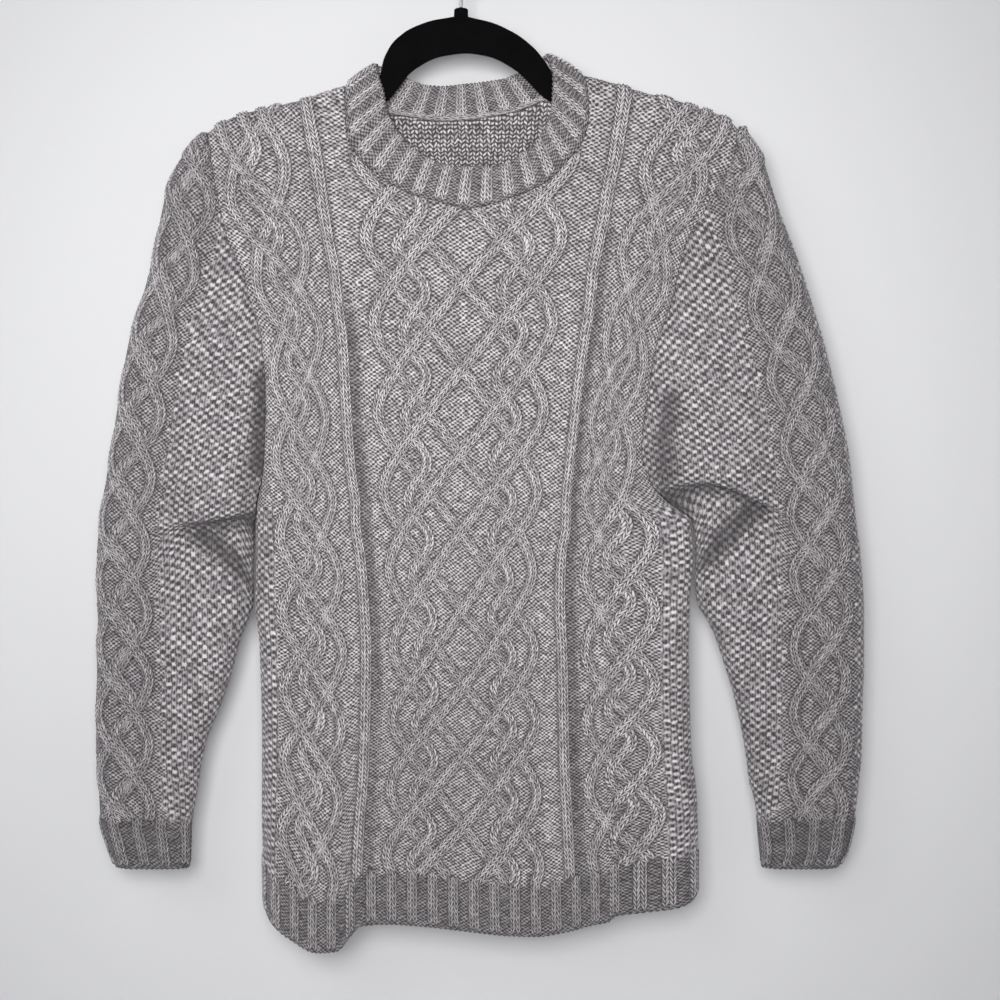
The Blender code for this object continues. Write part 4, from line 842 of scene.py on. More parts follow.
def purl_relief(half_row, half_stitch, depth):
    """Reverse side of the knitting: short slanted bumps in rows that lean over."""
    return np.where((half_row - half_stitch) % 2 == 0, 0.9, -0.9) * depth


def knit_relief(half_row, half_stitch, depth):
    """Right side of the knitting: upright columns with a groove between them."""
    leg = np.where(half_stitch % 2 == 1, 0.6, -0.8)
    return (leg + np.where(half_row % 2 == 0, 0.2, -0.2)) * depth


def seed_relief(half_row, half_stitch, depth):
    """Seed stitch: a bump on every other stitch, set over in the next row."""
    whole = (half_row % 2 == 0) & (half_stitch % 2 == 0)
    bump = whole & ((half_row // 2 + half_stitch // 2) % 2 == 0)
    return np.where(bump, 1.7, np.where(whole & ~bump, -0.8, -0.1)) * depth


def stitch_marks(depth, stitch, row, kind):
    """What the yarn's finish needs at each point: painted shade (the share of colour kept,
    here called depth), stitch and row number, and the kind of knitting (0 is the reverse
    side, 1 seed stitch and -1 the right side)."""
    parts = np.broadcast_arrays(depth, stitch, row, kind)
    return np.stack([np.asarray(p, float).reshape(-1) for p in parts], -1)


def ring_faces(rings, count, closed=False):
    """Quads between each ring of points and the next."""
    first = np.arange(rings if closed else rings - 1)[:, None] * count
    second = (first + count) % (rings * count)
    k = np.arange(count)[None]
    n = (k + 1) % count
    return np.stack([first + k, first + n, second + n, second + k], -1).reshape(-1, 4)


def rod_faces(rings, count):
    """The same, with a face over each end."""
    end = np.arange(count)[None]
    return [ring_faces(rings, count), end[:, ::-1], end + (rings - 1) * count]


def put(name, data):
    """A new object in the scene."""
    thing = bpy.data.objects.new(name, data)
    bpy.context.scene.collection.objects.link(thing)
    return thing


def make_piece(name, vertices, faces, marks, material, weld=False, turn_out=False):
    """A mesh from millimetres, with the painted shade of its stitches as an attribute."""
    old = bpy.data.objects.get(name)
    if old is not None:
        bpy.data.objects.remove(old, do_unlink=True)
    mesh = bpy.data.meshes.new(name)
    mesh.from_pydata(vertices * MM, [], [corners for part in faces for corners in part.tolist()])
    mesh.shade_smooth()
    if marks is not None:
        for mark, kind, field, values in (("stitch_depth", "FLOAT", "value", marks[:, 0]),
                                          ("stitch_place", "FLOAT_VECTOR", "vector", marks[:, 1:])):
            data = mesh.attributes.new(mark, kind, "POINT").data
            data.foreach_set(field, values.astype(np.float32).ravel())
    work = bmesh.new()
    work.from_mesh(mesh)
    if weld:
        bmesh.ops.remove_doubles(work, verts=work.verts, dist=WELD)
    loose = [v for v in work.verts if not v.link_faces]
    bmesh.ops.delete(work, geom=loose, context="VERTS")
    thin = [f for f in work.faces if f.calc_area() < NO_AREA]
    bmesh.ops.delete(work, geom=thin, context="FACES_ONLY")
    if turn_out:
        bmesh.ops.recalc_face_normals(work, faces=work.faces)
    work.to_mesh(mesh)
    work.free()
    mesh.validate()
    mesh.materials.append(material)
    return put(name, mesh)


class Cloth:
    """Points, stitch marks and faces of one knitted piece, gathered part by part."""
    hand = 1

    def __init__(self, surface, turn, loop):
        self.surface, self.turn, self.loop = surface, turn, loop
        self.vertices, self.marks, self.faces = [], [], []
        self.count = 0

    def add(self, vertices, marks, faces, base=None):
        """Take in points and faces, whose numbers count from these points or from base."""
        base = self.count if base is None else base
        turned = self.turn * self.hand < 0
        self.faces += [(f[:, ::-1] if turned else f) + base for f in faces]
        self.vertices.append(vertices)
        self.marks.append(marks)
        self.count += len(vertices)

    def piece(self, name, material, weld=False):
        """All that was gathered, as one object."""
        return make_piece(name, np.concatenate(self.vertices), self.faces,
                          np.concatenate(self.marks), material, weld)


class Shell(Cloth):
    """A closed wall of cloth: knitted outside, plainer inside, and a rounded rim."""

    def __init__(self, form):
        super().__init__(form.surface, form.turn, form.loop)
        self.ways = form.ways(form.loop)
        self.rim = form.surface(form.loop[:, 0], form.loop[:, 1])

    def side(self, chart, height, marks, faces, inside=False):
        """One side of the wall; its first points are the outline's."""
        skin = on_cloth(self.surface, self.turn, chart, height - WALL if inside else height)
        skin[:len(self.loop)] = self.rim + self.ways * WALL if inside else self.rim
        self.start = self.count
        self.add(skin, marks, [f[:, ::-1] for f in faces] if inside else faces)

    def edge(self, bulge, closed_below):
        """Rim between the two sides; bulge pushes its middle outwards at a free edge."""
        k = np.arange(len(self.loop))
        n = np.roll(k, -1)
        if closed_below is not None:
            low = np.minimum(self.loop[k, 1], self.loop[n, 1]) > closed_below - 0.01
            seam = low & (np.abs(self.loop[k, 1] - self.loop[n, 1]) > 0.01)
            k, n = k[~seam], n[~seam]
        middle, inner = self.count, self.start
        faces = [np.stack([n, k, k + middle, n + middle], -1),
                 np.stack([n + middle, k + middle, k + inner, n + inner], -1)]
        # Painted shade: the rim's colour is darkened to 0.6, as shade in the seams.
        self.add(self.rim + self.ways * WALL * 0.5 + bulge,
                 stitch_marks(np.full(len(self.loop), 0.6), 0.5, 0.0, 0.0), faces, 0)


class Strands(Cloth):
    """Closed knit strands, two stitches wide, that lie on one piece of cloth."""
    hand = -1       # their columns run the other way round than the outline of a shell

    def __init__(self, surface, turn, sizes, loop=None, tone=1.0):
        super().__init__(surface, turn, loop)
        self.sizes = sizes
        self.tone = tone

    def lay(self, line, rise, half, row, taper=(2.0, 2.0), up=None, down=None):
        """One strand along a chart line; up and down are the lift of its crossings."""
        up, down = [np.zeros(len(line)) if lift is None else lift for lift in (up, down)]
        runs = [np.arange(len(line))]
        if self.loop is not None:
            good = points_inside(line, self.loop)
            runs = np.split(runs[0], np.nonzero(np.diff(good.astype(int)))[0] + 1)
            runs = [r for r in runs if good[r[0]] and len(r) > SHORT_RUN]
        for run in runs:
            self.run(line[run], up[run], down[run], rise, half, row, taper)

    def run(self, line, up, down, rise, half, row, taper):
        """One unbroken length of a strand."""
        steps = np.linalg.norm(np.diff(line, axis=0), axis=1)
        if line[0, 1] != line[-1, 1]:
            steps = steps ** 0.5 * np.abs(np.diff(line[:, 1])) ** 0.5
        length = np.concatenate([[0.0], np.cumsum(steps)])
        count = max(int(length[-1] / (row * STRAND_ROW / 2.0)), 3)
        at = np.linspace(0.0, length[-1], count + 1)
        spots = coords(*[np.interp(at, length, column) for column in line.T])
        up = np.interp(at, length, up) * self.sizes.over_rise
        down = np.interp(at, length, down) * self.sizes.under_sink
        way = np.gradient(spots, axis=0)
        stitch, way = way * 2.0, unit(way)
        side = coords(-way[:, 1], way[:, 0])
        across, share, point, swell, tone = STRAND.rows.T
        chart = spots[:, None] - stitch[:, None] * (point * POINT_REACH)[None, :, None]
        chart = chart + side[:, None] * (across * half)[None, :, None]
        end = smooth(np.minimum(at, length[-1] * 2.0) / taper[0])
        end = end * smooth((length[-1] - at) / taper[1])
        # Every other ring of points stands higher, and every end dips into the cloth.
        beat = np.where(np.arange(count + 1) % 2 == 0, 1.0, -0.8) * self.sizes.stitch_relief
        height = rise * share[None] + beat[:, None] * swell[None]
        height = height + np.where(np.abs(across) < 0.99, 1.0, 0.0)[None] * up[:, None]
        height = (height - down[:, None] + SINK) * end[:, None] - SINK
        # Painted shade: darker at the strand's sunk edges and groove, by its piece's share, and where it passes under
        # another strand.
        depth = self.tone * tone[None] * (1.0 - 0.25 * np.clip(down, 0.0, 1.0))[:, None]
        rows = np.arange(count + 1)[:, None] / 2.0
        marks = stitch_marks(depth, 2.0 * (across + 1.0)[None], rows, 0.0)
        chart, height = chart.reshape(-1, 2), height.reshape(-1)
        if self.loop is not None:
            out = ~points_inside(chart, self.loop)
            if out.any():
                chart[out] = nearest_on(chart[out], self.loop)
                height[out] = -SINK
        places = on_cloth(self.surface, self.turn, chart, height)
        self.add(places, marks, rod_faces(count + 1, len(across)))


# ---------------------------------------------------------------- the sweater's pieces

def fold_shade(height):
    """Painted shade at the bottom of the cloth's folds, from 0 to 1."""
    return smooth(-height / FOLD_DARK) ** 2.0


class Form:
    """What a panel and a sleeve share: a flat chart, and how it hangs."""

    def __init__(self, turn):
        self.turn = turn
        self.loop = self.outline()
        self.neck_shows = turn > 0 and self.inside_kind < 0.0
        self.reach = int(np.abs(self.loop[:, 0]).max() / (STITCH / 2.0)) + 2

    def marks(self, chart, kind):
        """Stitch marks at points of the chart."""
        rows = self.rounds.at("rounds", chart[:, 1]) * self.rows
        return stitch_marks(1.0, chart[:, 0] / STITCH, rows, kind)

    def braid(self, count, middle, half, offset, rounding):
        """Closed plait of this piece's length."""
        stop = self.rib_drop + RIB_LAP
        return plait(count, middle, half, self.rounds, self.top_drop, stop, offset, rounding)

    def wind(self, middle, half, offset):
        """Winding strand of this piece's length."""
        stop = self.rib_drop + RIB_LAP
        return serpentine(middle, half, self.rounds, self.top_drop, stop, offset)


class Panel(Form):
    """The front (turn -1) or the back (turn 1)."""
    rounds, rows = BODY_ROUNDS, BODY_ROWS
    top_drop, rib_drop, end_drop = CHART_TOP, HEM_RIB_DROP, HEM_DROP
    inside_kind = -1.0
    # Painted shade: shares of colour kept on the ground, seed stitch and strands, and how strong the painted shade in
    # the folds is.
    seed_tone = ground_tone = strand_tone = 1.0
    fold_dark = 0.85
    closed_below = None

    def surface(self, across, drop):
        """The hung place of a chart point."""
        return body_point(self.turn, across / STITCH, drop)

    def outline(self):
        """Outline on the chart: shoulders and neck, side, hem, side."""
        neck, _ = even_path(NECK[self.turn].rows, NECK_RIBS[self.turn] * 10)
        tips = {-1: tip_drop(-1), 1: tip_drop(1)}
        loop, sides = [], []
        for side, neck_x in ((-1, neck[0, 0]), (1, neck[-1, 0])):
            start = BODY.at("right_edge" if side < 0 else "left_edge", tips[side])
            xs = np.linspace(start, neck_x, 50)[::-side]
            part = on_chart(xs, RIDGE.at("drop", xs))
            part[0 if side < 0 else -1] = (side * ARM_STITCH * STITCH, tips[side])
            loop += [part[:-1], on_chart(*neck.T)] if side < 0 else [part[1:]]
            downs = np.linspace(tips[side], HEM_DROP, int((HEM_DROP - tips[side]) / EDGE_STEP))
            sides.append(coords(side * EDGE.at("stitches", downs) * STITCH, downs))
        edge = EDGE_STITCH * STITCH
        marks = np.linspace(edge, -edge, int(2 * edge / EDGE_STEP))
        hem = coords(marks, HEM_DROP)
        return np.concatenate(loop + [sides[1][1:], hem[1:-1], sides[0][::-1][:-1]])

    def ways(self, points):
        """The direction from the outside to the inside of the wall along the outline."""
        stitch, drop = points[:, 0] / STITCH, points[:, 1]
        on_edge = np.abs(np.abs(stitch) - EDGE.at("stitches", drop)) < 0.02
        seam = seam_direction(self.turn, stitch, drop, np.where(on_edge, np.sign(stitch), 0.0))
        ground = -outward(self.surface, self.turn, points[:, 0], drop - 1.0)
        return np.where(((drop > HEM_DROP - 0.1) & ~on_edge)[:, None], ground, seam)

    def strands(self):
        """Middle lines of the cable strands, and which way their tops lean."""
        lines = self.braid(6, 0.0, PLAIT_HALF * STITCH, offset=0.45, rounding=0.31)
        leans = [1.0] * 6
        for side in (-1, 1):
            lines += self.wind(side * EYE_AT * STITCH, -side * EYE_SWING * STITCH, offset=0.55)
            at, swing = side * CABLE_AT * STITCH, side * CABLE_SWING * STITCH
            lines += self.braid(3, at, -side * CABLE_HALF * STITCH, offset=0.0, rounding=0.38)
            lines += self.wind(at + side * SIDE_STRAND_AT * STITCH, swing, offset=0.35)
            leans += [1.0] + [float(side)] * 4
        return lines, leans

    def columns(self):
        """The twin knit columns."""
        drops = np.arange(CHART_TOP, HEM_RIB_DROP + RIB_LAP, ROW)
        return [coords(side * CENTRE_HALF * STITCH, drops) for side in (-1, 1)]

    def ribs(self):
        """The knit ribs at the hem."""
        edge = EDGE_STITCH * STITCH
        half = RIB_STITCHES * STITCH / 2.0
        marks = np.linspace(-edge, edge, int(round(2 * edge / half)) + 1)[1:-1:2]
        return rib_lines(marks, marks, HEM_RIB_DROP - RIB_LAP, HEM_DROP - RIB_SHORT)

    def seed(self, chart, _):
        """Where the seed stitch is."""
        seed = (np.abs(chart[:, 0]) > SEED_STITCH * STITCH) & (chart[:, 1] > UNDERARM_DROP - 12.0)
        return seed & (chart[:, 1] < HEM_RIB_DROP)

    def shade(self, chart):
        """Painted shade in the cloth's folds."""
        stitch, drop = chart[:, 0] / STITCH, chart[:, 1]
        return fold_shade(fold_height(BODY_FOLDS[self.turn], STITCH, stitch, drop))


class Sleeve(Form):
    """A sleeve, right (turn -1) or left (turn 1), with its chart measured from its cable."""
    rounds, rows = SLEEVE_ROUNDS, SLEEVE_ROWS
    rib_drop, end_drop = CUFF_RIB_DROP, CUFF_DROP
    inside_kind = 0.0
    # Painted shade: the sleeves' ground, seed stitch and strands are darkened, and their folds painted with shade this
    # strongly.
    seed_tone, ground_tone, strand_tone = SLEEVE_SEED_PAINTED_SHADE, SLEEVE_PAINTED_SHADE, SLEEVE_STRAND_PAINTED_SHADE
    fold_dark = 0.82
    closed_below = UNDERARM_DROP

    def __init__(self, turn):
        super().__init__(turn)
        self.top_drop = float(SLEEVE[turn].rows[0, 0])

    def surface(self, around, drop):
        """The hung place of a chart point."""
        return sleeve_point(self.turn, around, drop)

    def outline(self):
        """Outline on the chart: front edge, cuff, back edge."""
        start = tip_drop(self.turn) + TIP_START
        arm, tube = [np.linspace(a, b, int((b - a) / EDGE_STEP))
                     for a, b in ((start, UNDERARM_DROP), (UNDERARM_DROP, CUFF_DROP))]
        downs = np.concatenate([arm, tube[1:]])
        low, high = sleeve_limits(self.turn, downs)
        marks = np.linspace(high[-1], low[-1], int((high[-1] - low[-1]) / EDGE_STEP))[1:-1]
        cuff = coords(marks, CUFF_DROP)
        return np.concatenate([coords(high, downs), cuff, coords(low, downs)[::-1]])

    def ways(self, points):
        """The direction from the outside to the inside of the wall along the outline."""
        around, drop = points.T
        low, high = sleeve_limits(self.turn, drop)
        on_edge = np.minimum(np.abs(around - low), np.abs(around - high)) < 1e-6
        front = np.abs(around - high) < np.abs(around - low)
        stitch = self.turn * EDGE.at("stitches", drop)
        seams = [seam_direction(f, stitch, drop, float(self.turn)) for f in (-1.0, 1.0)]
        seam = np.where(front[:, None], seams[0], seams[1]) * np.array([-1.0, 1.0, 1.0])
        across = np.array([float(self.turn), 0.0, 0.0])
        seam = np.where((drop < UNDERARM_DROP - 0.01)[:, None], seam, across)
        ground = -outward(self.surface, self.turn, around, drop - 1.0)
        return np.where(on_edge[:, None], seam, ground)

    def strands(self):
        """Middle lines of the cable strands, and which way their tops lean."""
        lines = self.braid(3, 0.0, self.turn * SLEEVE_CABLE_HALF, offset=0.0, rounding=0.38)
        lines += self.wind(-self.turn * 2.0, self.turn * SLEEVE_SWING, offset=0.35)
        return lines, [-1.0] * 4

    def columns(self):
        return []

    def ribs(self):
        """The knit ribs of the cuff."""
        drops = np.array([CUFF_RIB_DROP, CUFF_DROP])
        (low_top, low), (high_top, high) = sleeve_limits(self.turn, drops)
        count = 2 * int(round(float(high - low) / (RIB_STITCHES * STITCH)))
        share = np.linspace(0.0, 1.0, count + 1)[1:-1:2]
        return rib_lines(low_top + (high_top - low_top) * share, low + (high - low) * share,
                         CUFF_RIB_DROP - RIB_LAP, CUFF_DROP - RIB_SHORT)

    def seed(self, chart, half_row):
        """Where the seed stitch is. The change of stitch wanders by a stitch, row by row,
        as it does in hand knitting."""
        plain = SLEEVE_PLAIN + STITCH * np.sin(half_row * 0.37) * np.sin(half_row * 0.11 + 1.0)
        return (np.abs(chart[:, 0]) > plain) & (chart[:, 1] < CUFF_RIB_DROP)

    def shade(self, chart):
        """Painted shade in the cloth's folds, and painted shadow in the hollow under its pouch."""
        around, drop = chart.T
        tau = around + SLEEVE[self.turn].at("cable", drop)
        front = tau >= 0.0
        total = np.where(front, *[sleeve_frame(self.turn, face, drop)[-1] for face in (-1, 1)])
        share = np.clip(np.abs(tau) / total, 0.0, 1.0)
        place = np.where(front, share, -share)
        folds = fold_height(SLEEVE_FOLDS[self.turn], FOLD_SPAN, place, drop)
        past = drop - POUCH[self.turn].at("edge", np.clip(share, 0.3, 1.0))
        # The painted shadow in the hollow ends 40 mm past the pouch's edge, and lies on the side by the body.
        under = smooth((past - 1.0) / 8.0) * (1.0 - smooth((past - 14.0) / 26.0))
        return np.maximum(fold_shade(folds), under * smooth((share - 0.48) / 0.2) * front)


def knit_ground(name, form, sizes, material):
    """The cloth of a piece: its knitted ground outside and the plain side inside."""
    shell = Shell(form)
    drops, half_rows = row_drops(form.rounds, form.rows, form.loop[:, 1].min(), form.end_drop + 1.0)
    spots = np.arange(-form.reach, form.reach + 1) * STITCH / 2.0
    chart, faces, row, column = fill_outline(form.loop, drops, spots)
    grid = row >= 0
    j, k = half_rows[row], column - form.reach
    seed = form.seed(chart, j)
    depth = sizes.stitch_relief
    height = np.where(seed, seed_relief(j, k, depth), purl_relief(j, k, depth))
    low = beside_strands(chart, form.strands()[0] + form.columns() + form.ribs(), sizes.strand_half)
    low = np.where(chart[:, 1] > form.rib_drop, np.maximum(low, RIB_HOLLOW), low)
    height = height * (1.0 - BESIDE_RELIEF * low) - BESIDE_RELIEF * low
    height = np.where(grid, height, 0.0)
    marks = form.marks(chart, seed)
    # Painted shade: beside the strands, between the ribs and in the folds, and on the sleeves.
    marks[:, 0] = np.where(seed, form.seed_tone, form.ground_tone) * (1.0 - SHADE * low)
    marks[:, 0] *= 1.0 - form.fold_dark * form.shade(chart)
    settled = roomy_grid(form.loop, drops, spots, ROOM)[row, column] & grid
    shell.side(chart, np.where(settled, height, RIM_RELIEF * height), marks, faces)
    shell.side(*lining(form, drops, half_rows, sizes), inside=True)
    knobs = np.where(np.arange(len(form.loop)) % 2 == 0, *FREE_EDGE)
    knobs = (form.loop[:, 1] > form.end_drop - 0.1) * knobs
    shell.edge(coords(0.0, 0.0, -knobs), form.closed_below)
    return shell.piece(name, material, weld=form.closed_below is not None)


def lining(form, drops, half_rows, sizes):
    """The inside of a piece; behind the neck, where it shows, it has its stitches."""
    low, high = form.loop.min(0), form.loop.max(0)
    spots, downs = [np.arange(a - LINING_STEP, b + LINING_STEP, LINING_STEP)
                    for a, b in zip(low, high)]
    if form.neck_shows:
        fine = np.arange(-2 * NECK_SIGHT, 2 * NECK_SIGHT + 1) * STITCH / 2.0
        sides = np.abs(spots) > fine[-1] + LINING_GAP
        spots = np.sort(np.concatenate([fine, spots[sides]]))
        top = drops[drops < NECK_LOW]
        downs = np.concatenate([top, downs[downs > top[-1] + LINING_GAP]])
    chart, faces, row, column = fill_outline(form.loop, downs, spots)
    marks = form.marks(chart, form.inside_kind)
    height = np.zeros(len(chart))
    if form.neck_shows:
        on = (row >= 0) & (chart[:, 1] < NECK_LOW - 2.0)
        on &= np.abs(chart[:, 0]) < NECK_SIGHT * STITCH - 0.5
        on &= roomy_grid(form.loop, downs, spots, ROOM)[row, column]
        j = half_rows[np.clip(np.searchsorted(drops, chart[:, 1] - 0.01), 0, len(drops) - 1)]
        k = np.rint(chart[:, 0] / (STITCH / 2.0)).astype(int)
        height = np.where(on, -knit_relief(j, k, sizes.stitch_relief), height)
        point = np.where(k % 2 == 1, LEG_SLANT, -LEG_SLANT)
        chart = chart + coords(0.0, np.where(on, point, 0.0))
    return chart, height, marks, faces


def knit_cables(name, form, sizes, material):
    """The cable strands, twin columns and ribs of a piece."""
    strands = Strands(form.surface, form.turn, sizes, form.loop, form.strand_tone)
    lines, leans = form.strands()
    half = sizes.strand_half
    row = float(np.ptp(form.rounds.rows[:, 0]) / np.ptp(form.rounds.rows[:, 1]) / form.rows)
    for line, above, below in zip(lines, *cross_strands(lines, leans)):
        strands.lay(line, sizes.cable_rise, half, row, up=above, down=below)
    for line in form.columns():
        strands.lay(line, sizes.column_rise, half, row)
    # Painted shade: the ribs are darkened further.
    strands.tone *= RIB_PAINTED_SHADE
    for line in form.ribs():
        strands.lay(line, sizes.rib_rise, half, row, RIB_TAPER)
    return strands.piece(name, material)


class Band:
    """The neckband's ground: "around" in millimetres of stitches, "below" its free edge."""

    def __init__(self):
        rings = []
        for face, reach in ((-1, 13.0), (1, 12.0)):
            count = NECK_RIBS[face] * RIB_STEPS
            low, _ = even_path(NECK[face].rows, count)
            top, _ = even_path(BAND_LIP[face].rows, count)
            rows = chart_drop(low[:, 0], low[:, 1])
            stitches = stitch_at(low[:, 0], rows)
            foot = body_point(face, stitches, rows)
            way = seam_direction(face, stitches, rows, 0.0 * stitches)
            arch = np.sin(math.pi * np.linspace(0.0, 1.0, count + 1)) ** 0.3
            lip = coords(top[:, 0], face * (reach * arch), -top[:, 1])
            order = np.arange(count) if face < 0 else np.arange(count, 0, -1)
            rings.append((foot[order], lip[order], way[order]))
        self.foot, self.lip, self.way = [np.concatenate(part) for part in zip(*rings)]
        self.count = len(self.foot)
        ring = np.roll(self.lip, -1, axis=0) - np.roll(self.lip, 1, axis=0)
        lean = self.lip - self.foot
        out = unit(np.cross(ring, lean))
        self.out = np.where((out * -self.way).sum(1, keepdims=True) < 0, -out, out)
        gap = NECK_GAP + CORNER_GAP * (1.0 - np.abs(self.way[:, 1:2]))
        self.start = unit(lean) * gap

    def at(self, values, around):
        """A ring of values at any place round the band."""
        station = np.mod(around / (STITCH / 2.0), self.count)
        k = np.floor(station).astype(int) % self.count
        part = (station - np.floor(station))[..., None]
        return values[k] * (1.0 - part) + values[(k + 1) % self.count] * part

    def point(self, around, below, height=0.0):
        """The band's ground, or a point at a height over it."""
        level = np.clip(1.0 - below / BAND_HIGH, 0.0, 1.0)[..., None]
        foot = self.at(self.foot + self.start, around)
        base = foot + (self.at(self.lip, around) - foot) * level
        base = base + self.at(self.out, around) * (BAND_BOW * level * (1.0 - level))
        mix = smooth(level)
        way = -self.at(self.way, around) * (1.0 - mix) + self.at(self.out, around) * mix
        return base + unit(way) * np.asarray(height)[..., None]


def neckband(name, sizes, material):
    """The ribbed band round the neck: purl hollows outside, the reverse inside."""
    band = Band()
    count = np.arange(band.count)
    around = count * STITCH / 2.0
    levels = np.linspace(BAND_HIGH, 0.0, BAND_ROWS)
    rings, marks = [], []
    for side in (1, -1):
        for j, below in enumerate(levels[::side]):
            end = j in (0, len(levels) - 1)
            ridge = purl_relief(j, count, sizes.stitch_relief) * (0.0 if end else 1.0)
            height = ridge if side > 0 else -WALL - ridge
            rings.append(band.point(around, below, height))
            # Painted shade: the band's ground between its ribs is darkened to half its colour.
            marks.append(stitch_marks(0.5, around / STITCH, j / 2.0, 0.0))
        if side > 0:
            lip = band.point(around, 0.0, -WALL / 2.0)
            knobs = np.where(count % 2 == 0, *BAND_EDGE)[:, None]
            rings.append(lip + (band.lip - band.foot) / BAND_HIGH * knobs)
            marks.append(stitch_marks(1.0, around / STITCH, 0.0, 0.0))
    quads = ring_faces(len(rings), band.count, closed=True)
    return make_piece(name, np.concatenate(rings), [quads], np.concatenate(marks), material)


def band_ribs(name, sizes, material):
    """Knit ribs of the neckband, on the outside and between them on the inside."""
    band = Band()
    strands = Strands(band.point, -1, sizes)
    down = np.linspace(0.4, BAND_HIGH - 0.3, 40)
    ends = (1.0, 1.0)
    for place, height, turn in ((1, 0.0, -1), (5, -WALL, 1)):
        strands.surface, strands.turn = partial(band.point, height=height), turn
        for rib in range(NECK_RIBS[-1] + NECK_RIBS[1]):
            line = coords((rib * RIB_STEPS + place) * STITCH / 2.0, down)
            strands.lay(line, sizes.rib_rise * 1.2, sizes.strand_half * 1.08, BAND_ROW, ends)
    # The ridge of picked-up stitches along the seam inside.
    around = np.linspace(0.0, band.count * STITCH / 2.0, 400)
    line = coords(around, BAND_HIGH - 2.0)
    strands.lay(line, sizes.rib_rise * 1.3, sizes.strand_half * 0.85, SEAM_ROW, ends)
    return strands.piece(name, material)


# ---------------------------------------------------------------- hanger and hook

# How far the hanger's outline is drawn in at each depth of its rounded edge.
HANGER_EDGE = [(-1.0, 1.5), (-0.82, 0.45), (-0.4, 0.0), (0.4, 0.0), (0.82, 0.45), (1.0, 1.5)]


def hanger_form(name, material):
    """The flocked hanger, with a soft rounded edge."""
    outline = HANGER_OUTLINE.rows * np.array([1.0, -1.0])
    for _ in range(3):
        after = np.roll(outline, -1, axis=0)
        corners = [outline * 0.8 + after * 0.2, outline * 0.2 + after * 0.8]
        outline = np.stack(corners, 1).reshape(-1, 2)
    along = unit(np.roll(outline, -1, axis=0) - np.roll(outline, 1, axis=0))
    inward = coords(-along[:, 1], along[:, 0])
    if not points_inside(outline[:1] + inward[:1] * 0.5, outline)[0]:
        inward = -inward
    rings = []
    for depth, inset in HANGER_EDGE:
        x, z = (outline + inward * inset).T
        rings.append(coords(x, depth * HANGER_THICK / 2.0, z))
    count = len(outline)
    cap = triangulate(rings[0][:, [0, 2]], [(k, (k + 1) % count) for k in range(count)])
    faces = [ring_faces(len(rings), count), cap, cap[:, ::-1] + (len(rings) - 1) * count]
    return make_piece(name, np.concatenate(rings), faces, None, material, turn_out=True)


def hook_wire(name, material):
    """Round crook and straight shank, bent from one wire, with a rounded tip."""
    bend = HOOK_RADIUS + HOOK_WIRE / 2.0
    points = [(0.0, SEAM_GAP - 70.0), (0.0, -66.0), (0.0, -62.0), (0.6, -56.0), (4.0, -50.0),
              (10.0, -44.5), (15.5, -39.0)]
    points += [(bend * math.cos(angle), bend * math.sin(angle) - HOOK_RADIUS)
               for angle in np.radians(range(-35, 216, 10))]
    path, at = even_path(np.array(points), 139)
    way = unit(np.gradient(path, axis=0))
    tip = np.clip(1.0 - (at[-1] - at) / (HOOK_WIRE / 2.0), 0.0, 0.97)
    thick = HOOK_WIRE / 2.0 * np.sqrt(1.0 - tip ** 2)
    sides = 16
    angle = np.linspace(0.0, 2.0 * math.pi, sides, endpoint=False)
    across = thick[:, None] * np.cos(angle)[None]
    vertices = np.stack([path[:, 0:1] - way[:, 1:2] * across, thick[:, None] * np.sin(angle)[None],
                         path[:, 1:2] + way[:, 0:1] * across], -1).reshape(-1, 3)
    return make_piece(name, vertices, rod_faces(len(at), sides), None, material, turn_out=True)


# ---------------------------------------------------------------- materials

class Value:
    """A shader socket that can be used in plain Python sums."""

    def __init__(self, tree, socket):
        self.tree = tree
        self.socket = socket

    def feed(self, value):
        """Give this socket a value, or a link from another one."""
        if isinstance(value, Value):
            self.tree.links.new(value.socket, self.socket)
        else:
            self.socket.default_value = value

    def maths(self, operation, *values):
        node = self.tree.nodes.new("ShaderNodeMath")
        node.operation = operation
        for socket, value in zip(node.inputs, values):
            Value(self.tree, socket).feed(value)
        return Value(self.tree, node.outputs[0])

    def sine(self):
        return self.maths("SINE", self)

    def cosine(self):
        return self.maths("COSINE", self)

    def __abs__(self):
        return self.maths("ABSOLUTE", self)

    def __round__(self):
        return self.maths("ROUND", self)

    def __add__(self, other):
        return self.maths("ADD", self, other)

    __radd__ = __add__

    def __sub__(self, other):
        return self.maths("SUBTRACT", self, other)

    def __rsub__(self, other):
        return self.maths("SUBTRACT", other, self)

    def __mul__(self, other):
        return self.maths("MULTIPLY", self, other)

    __rmul__ = __mul__

    def __pow__(self, other):
        return self.maths("POWER", self, other)


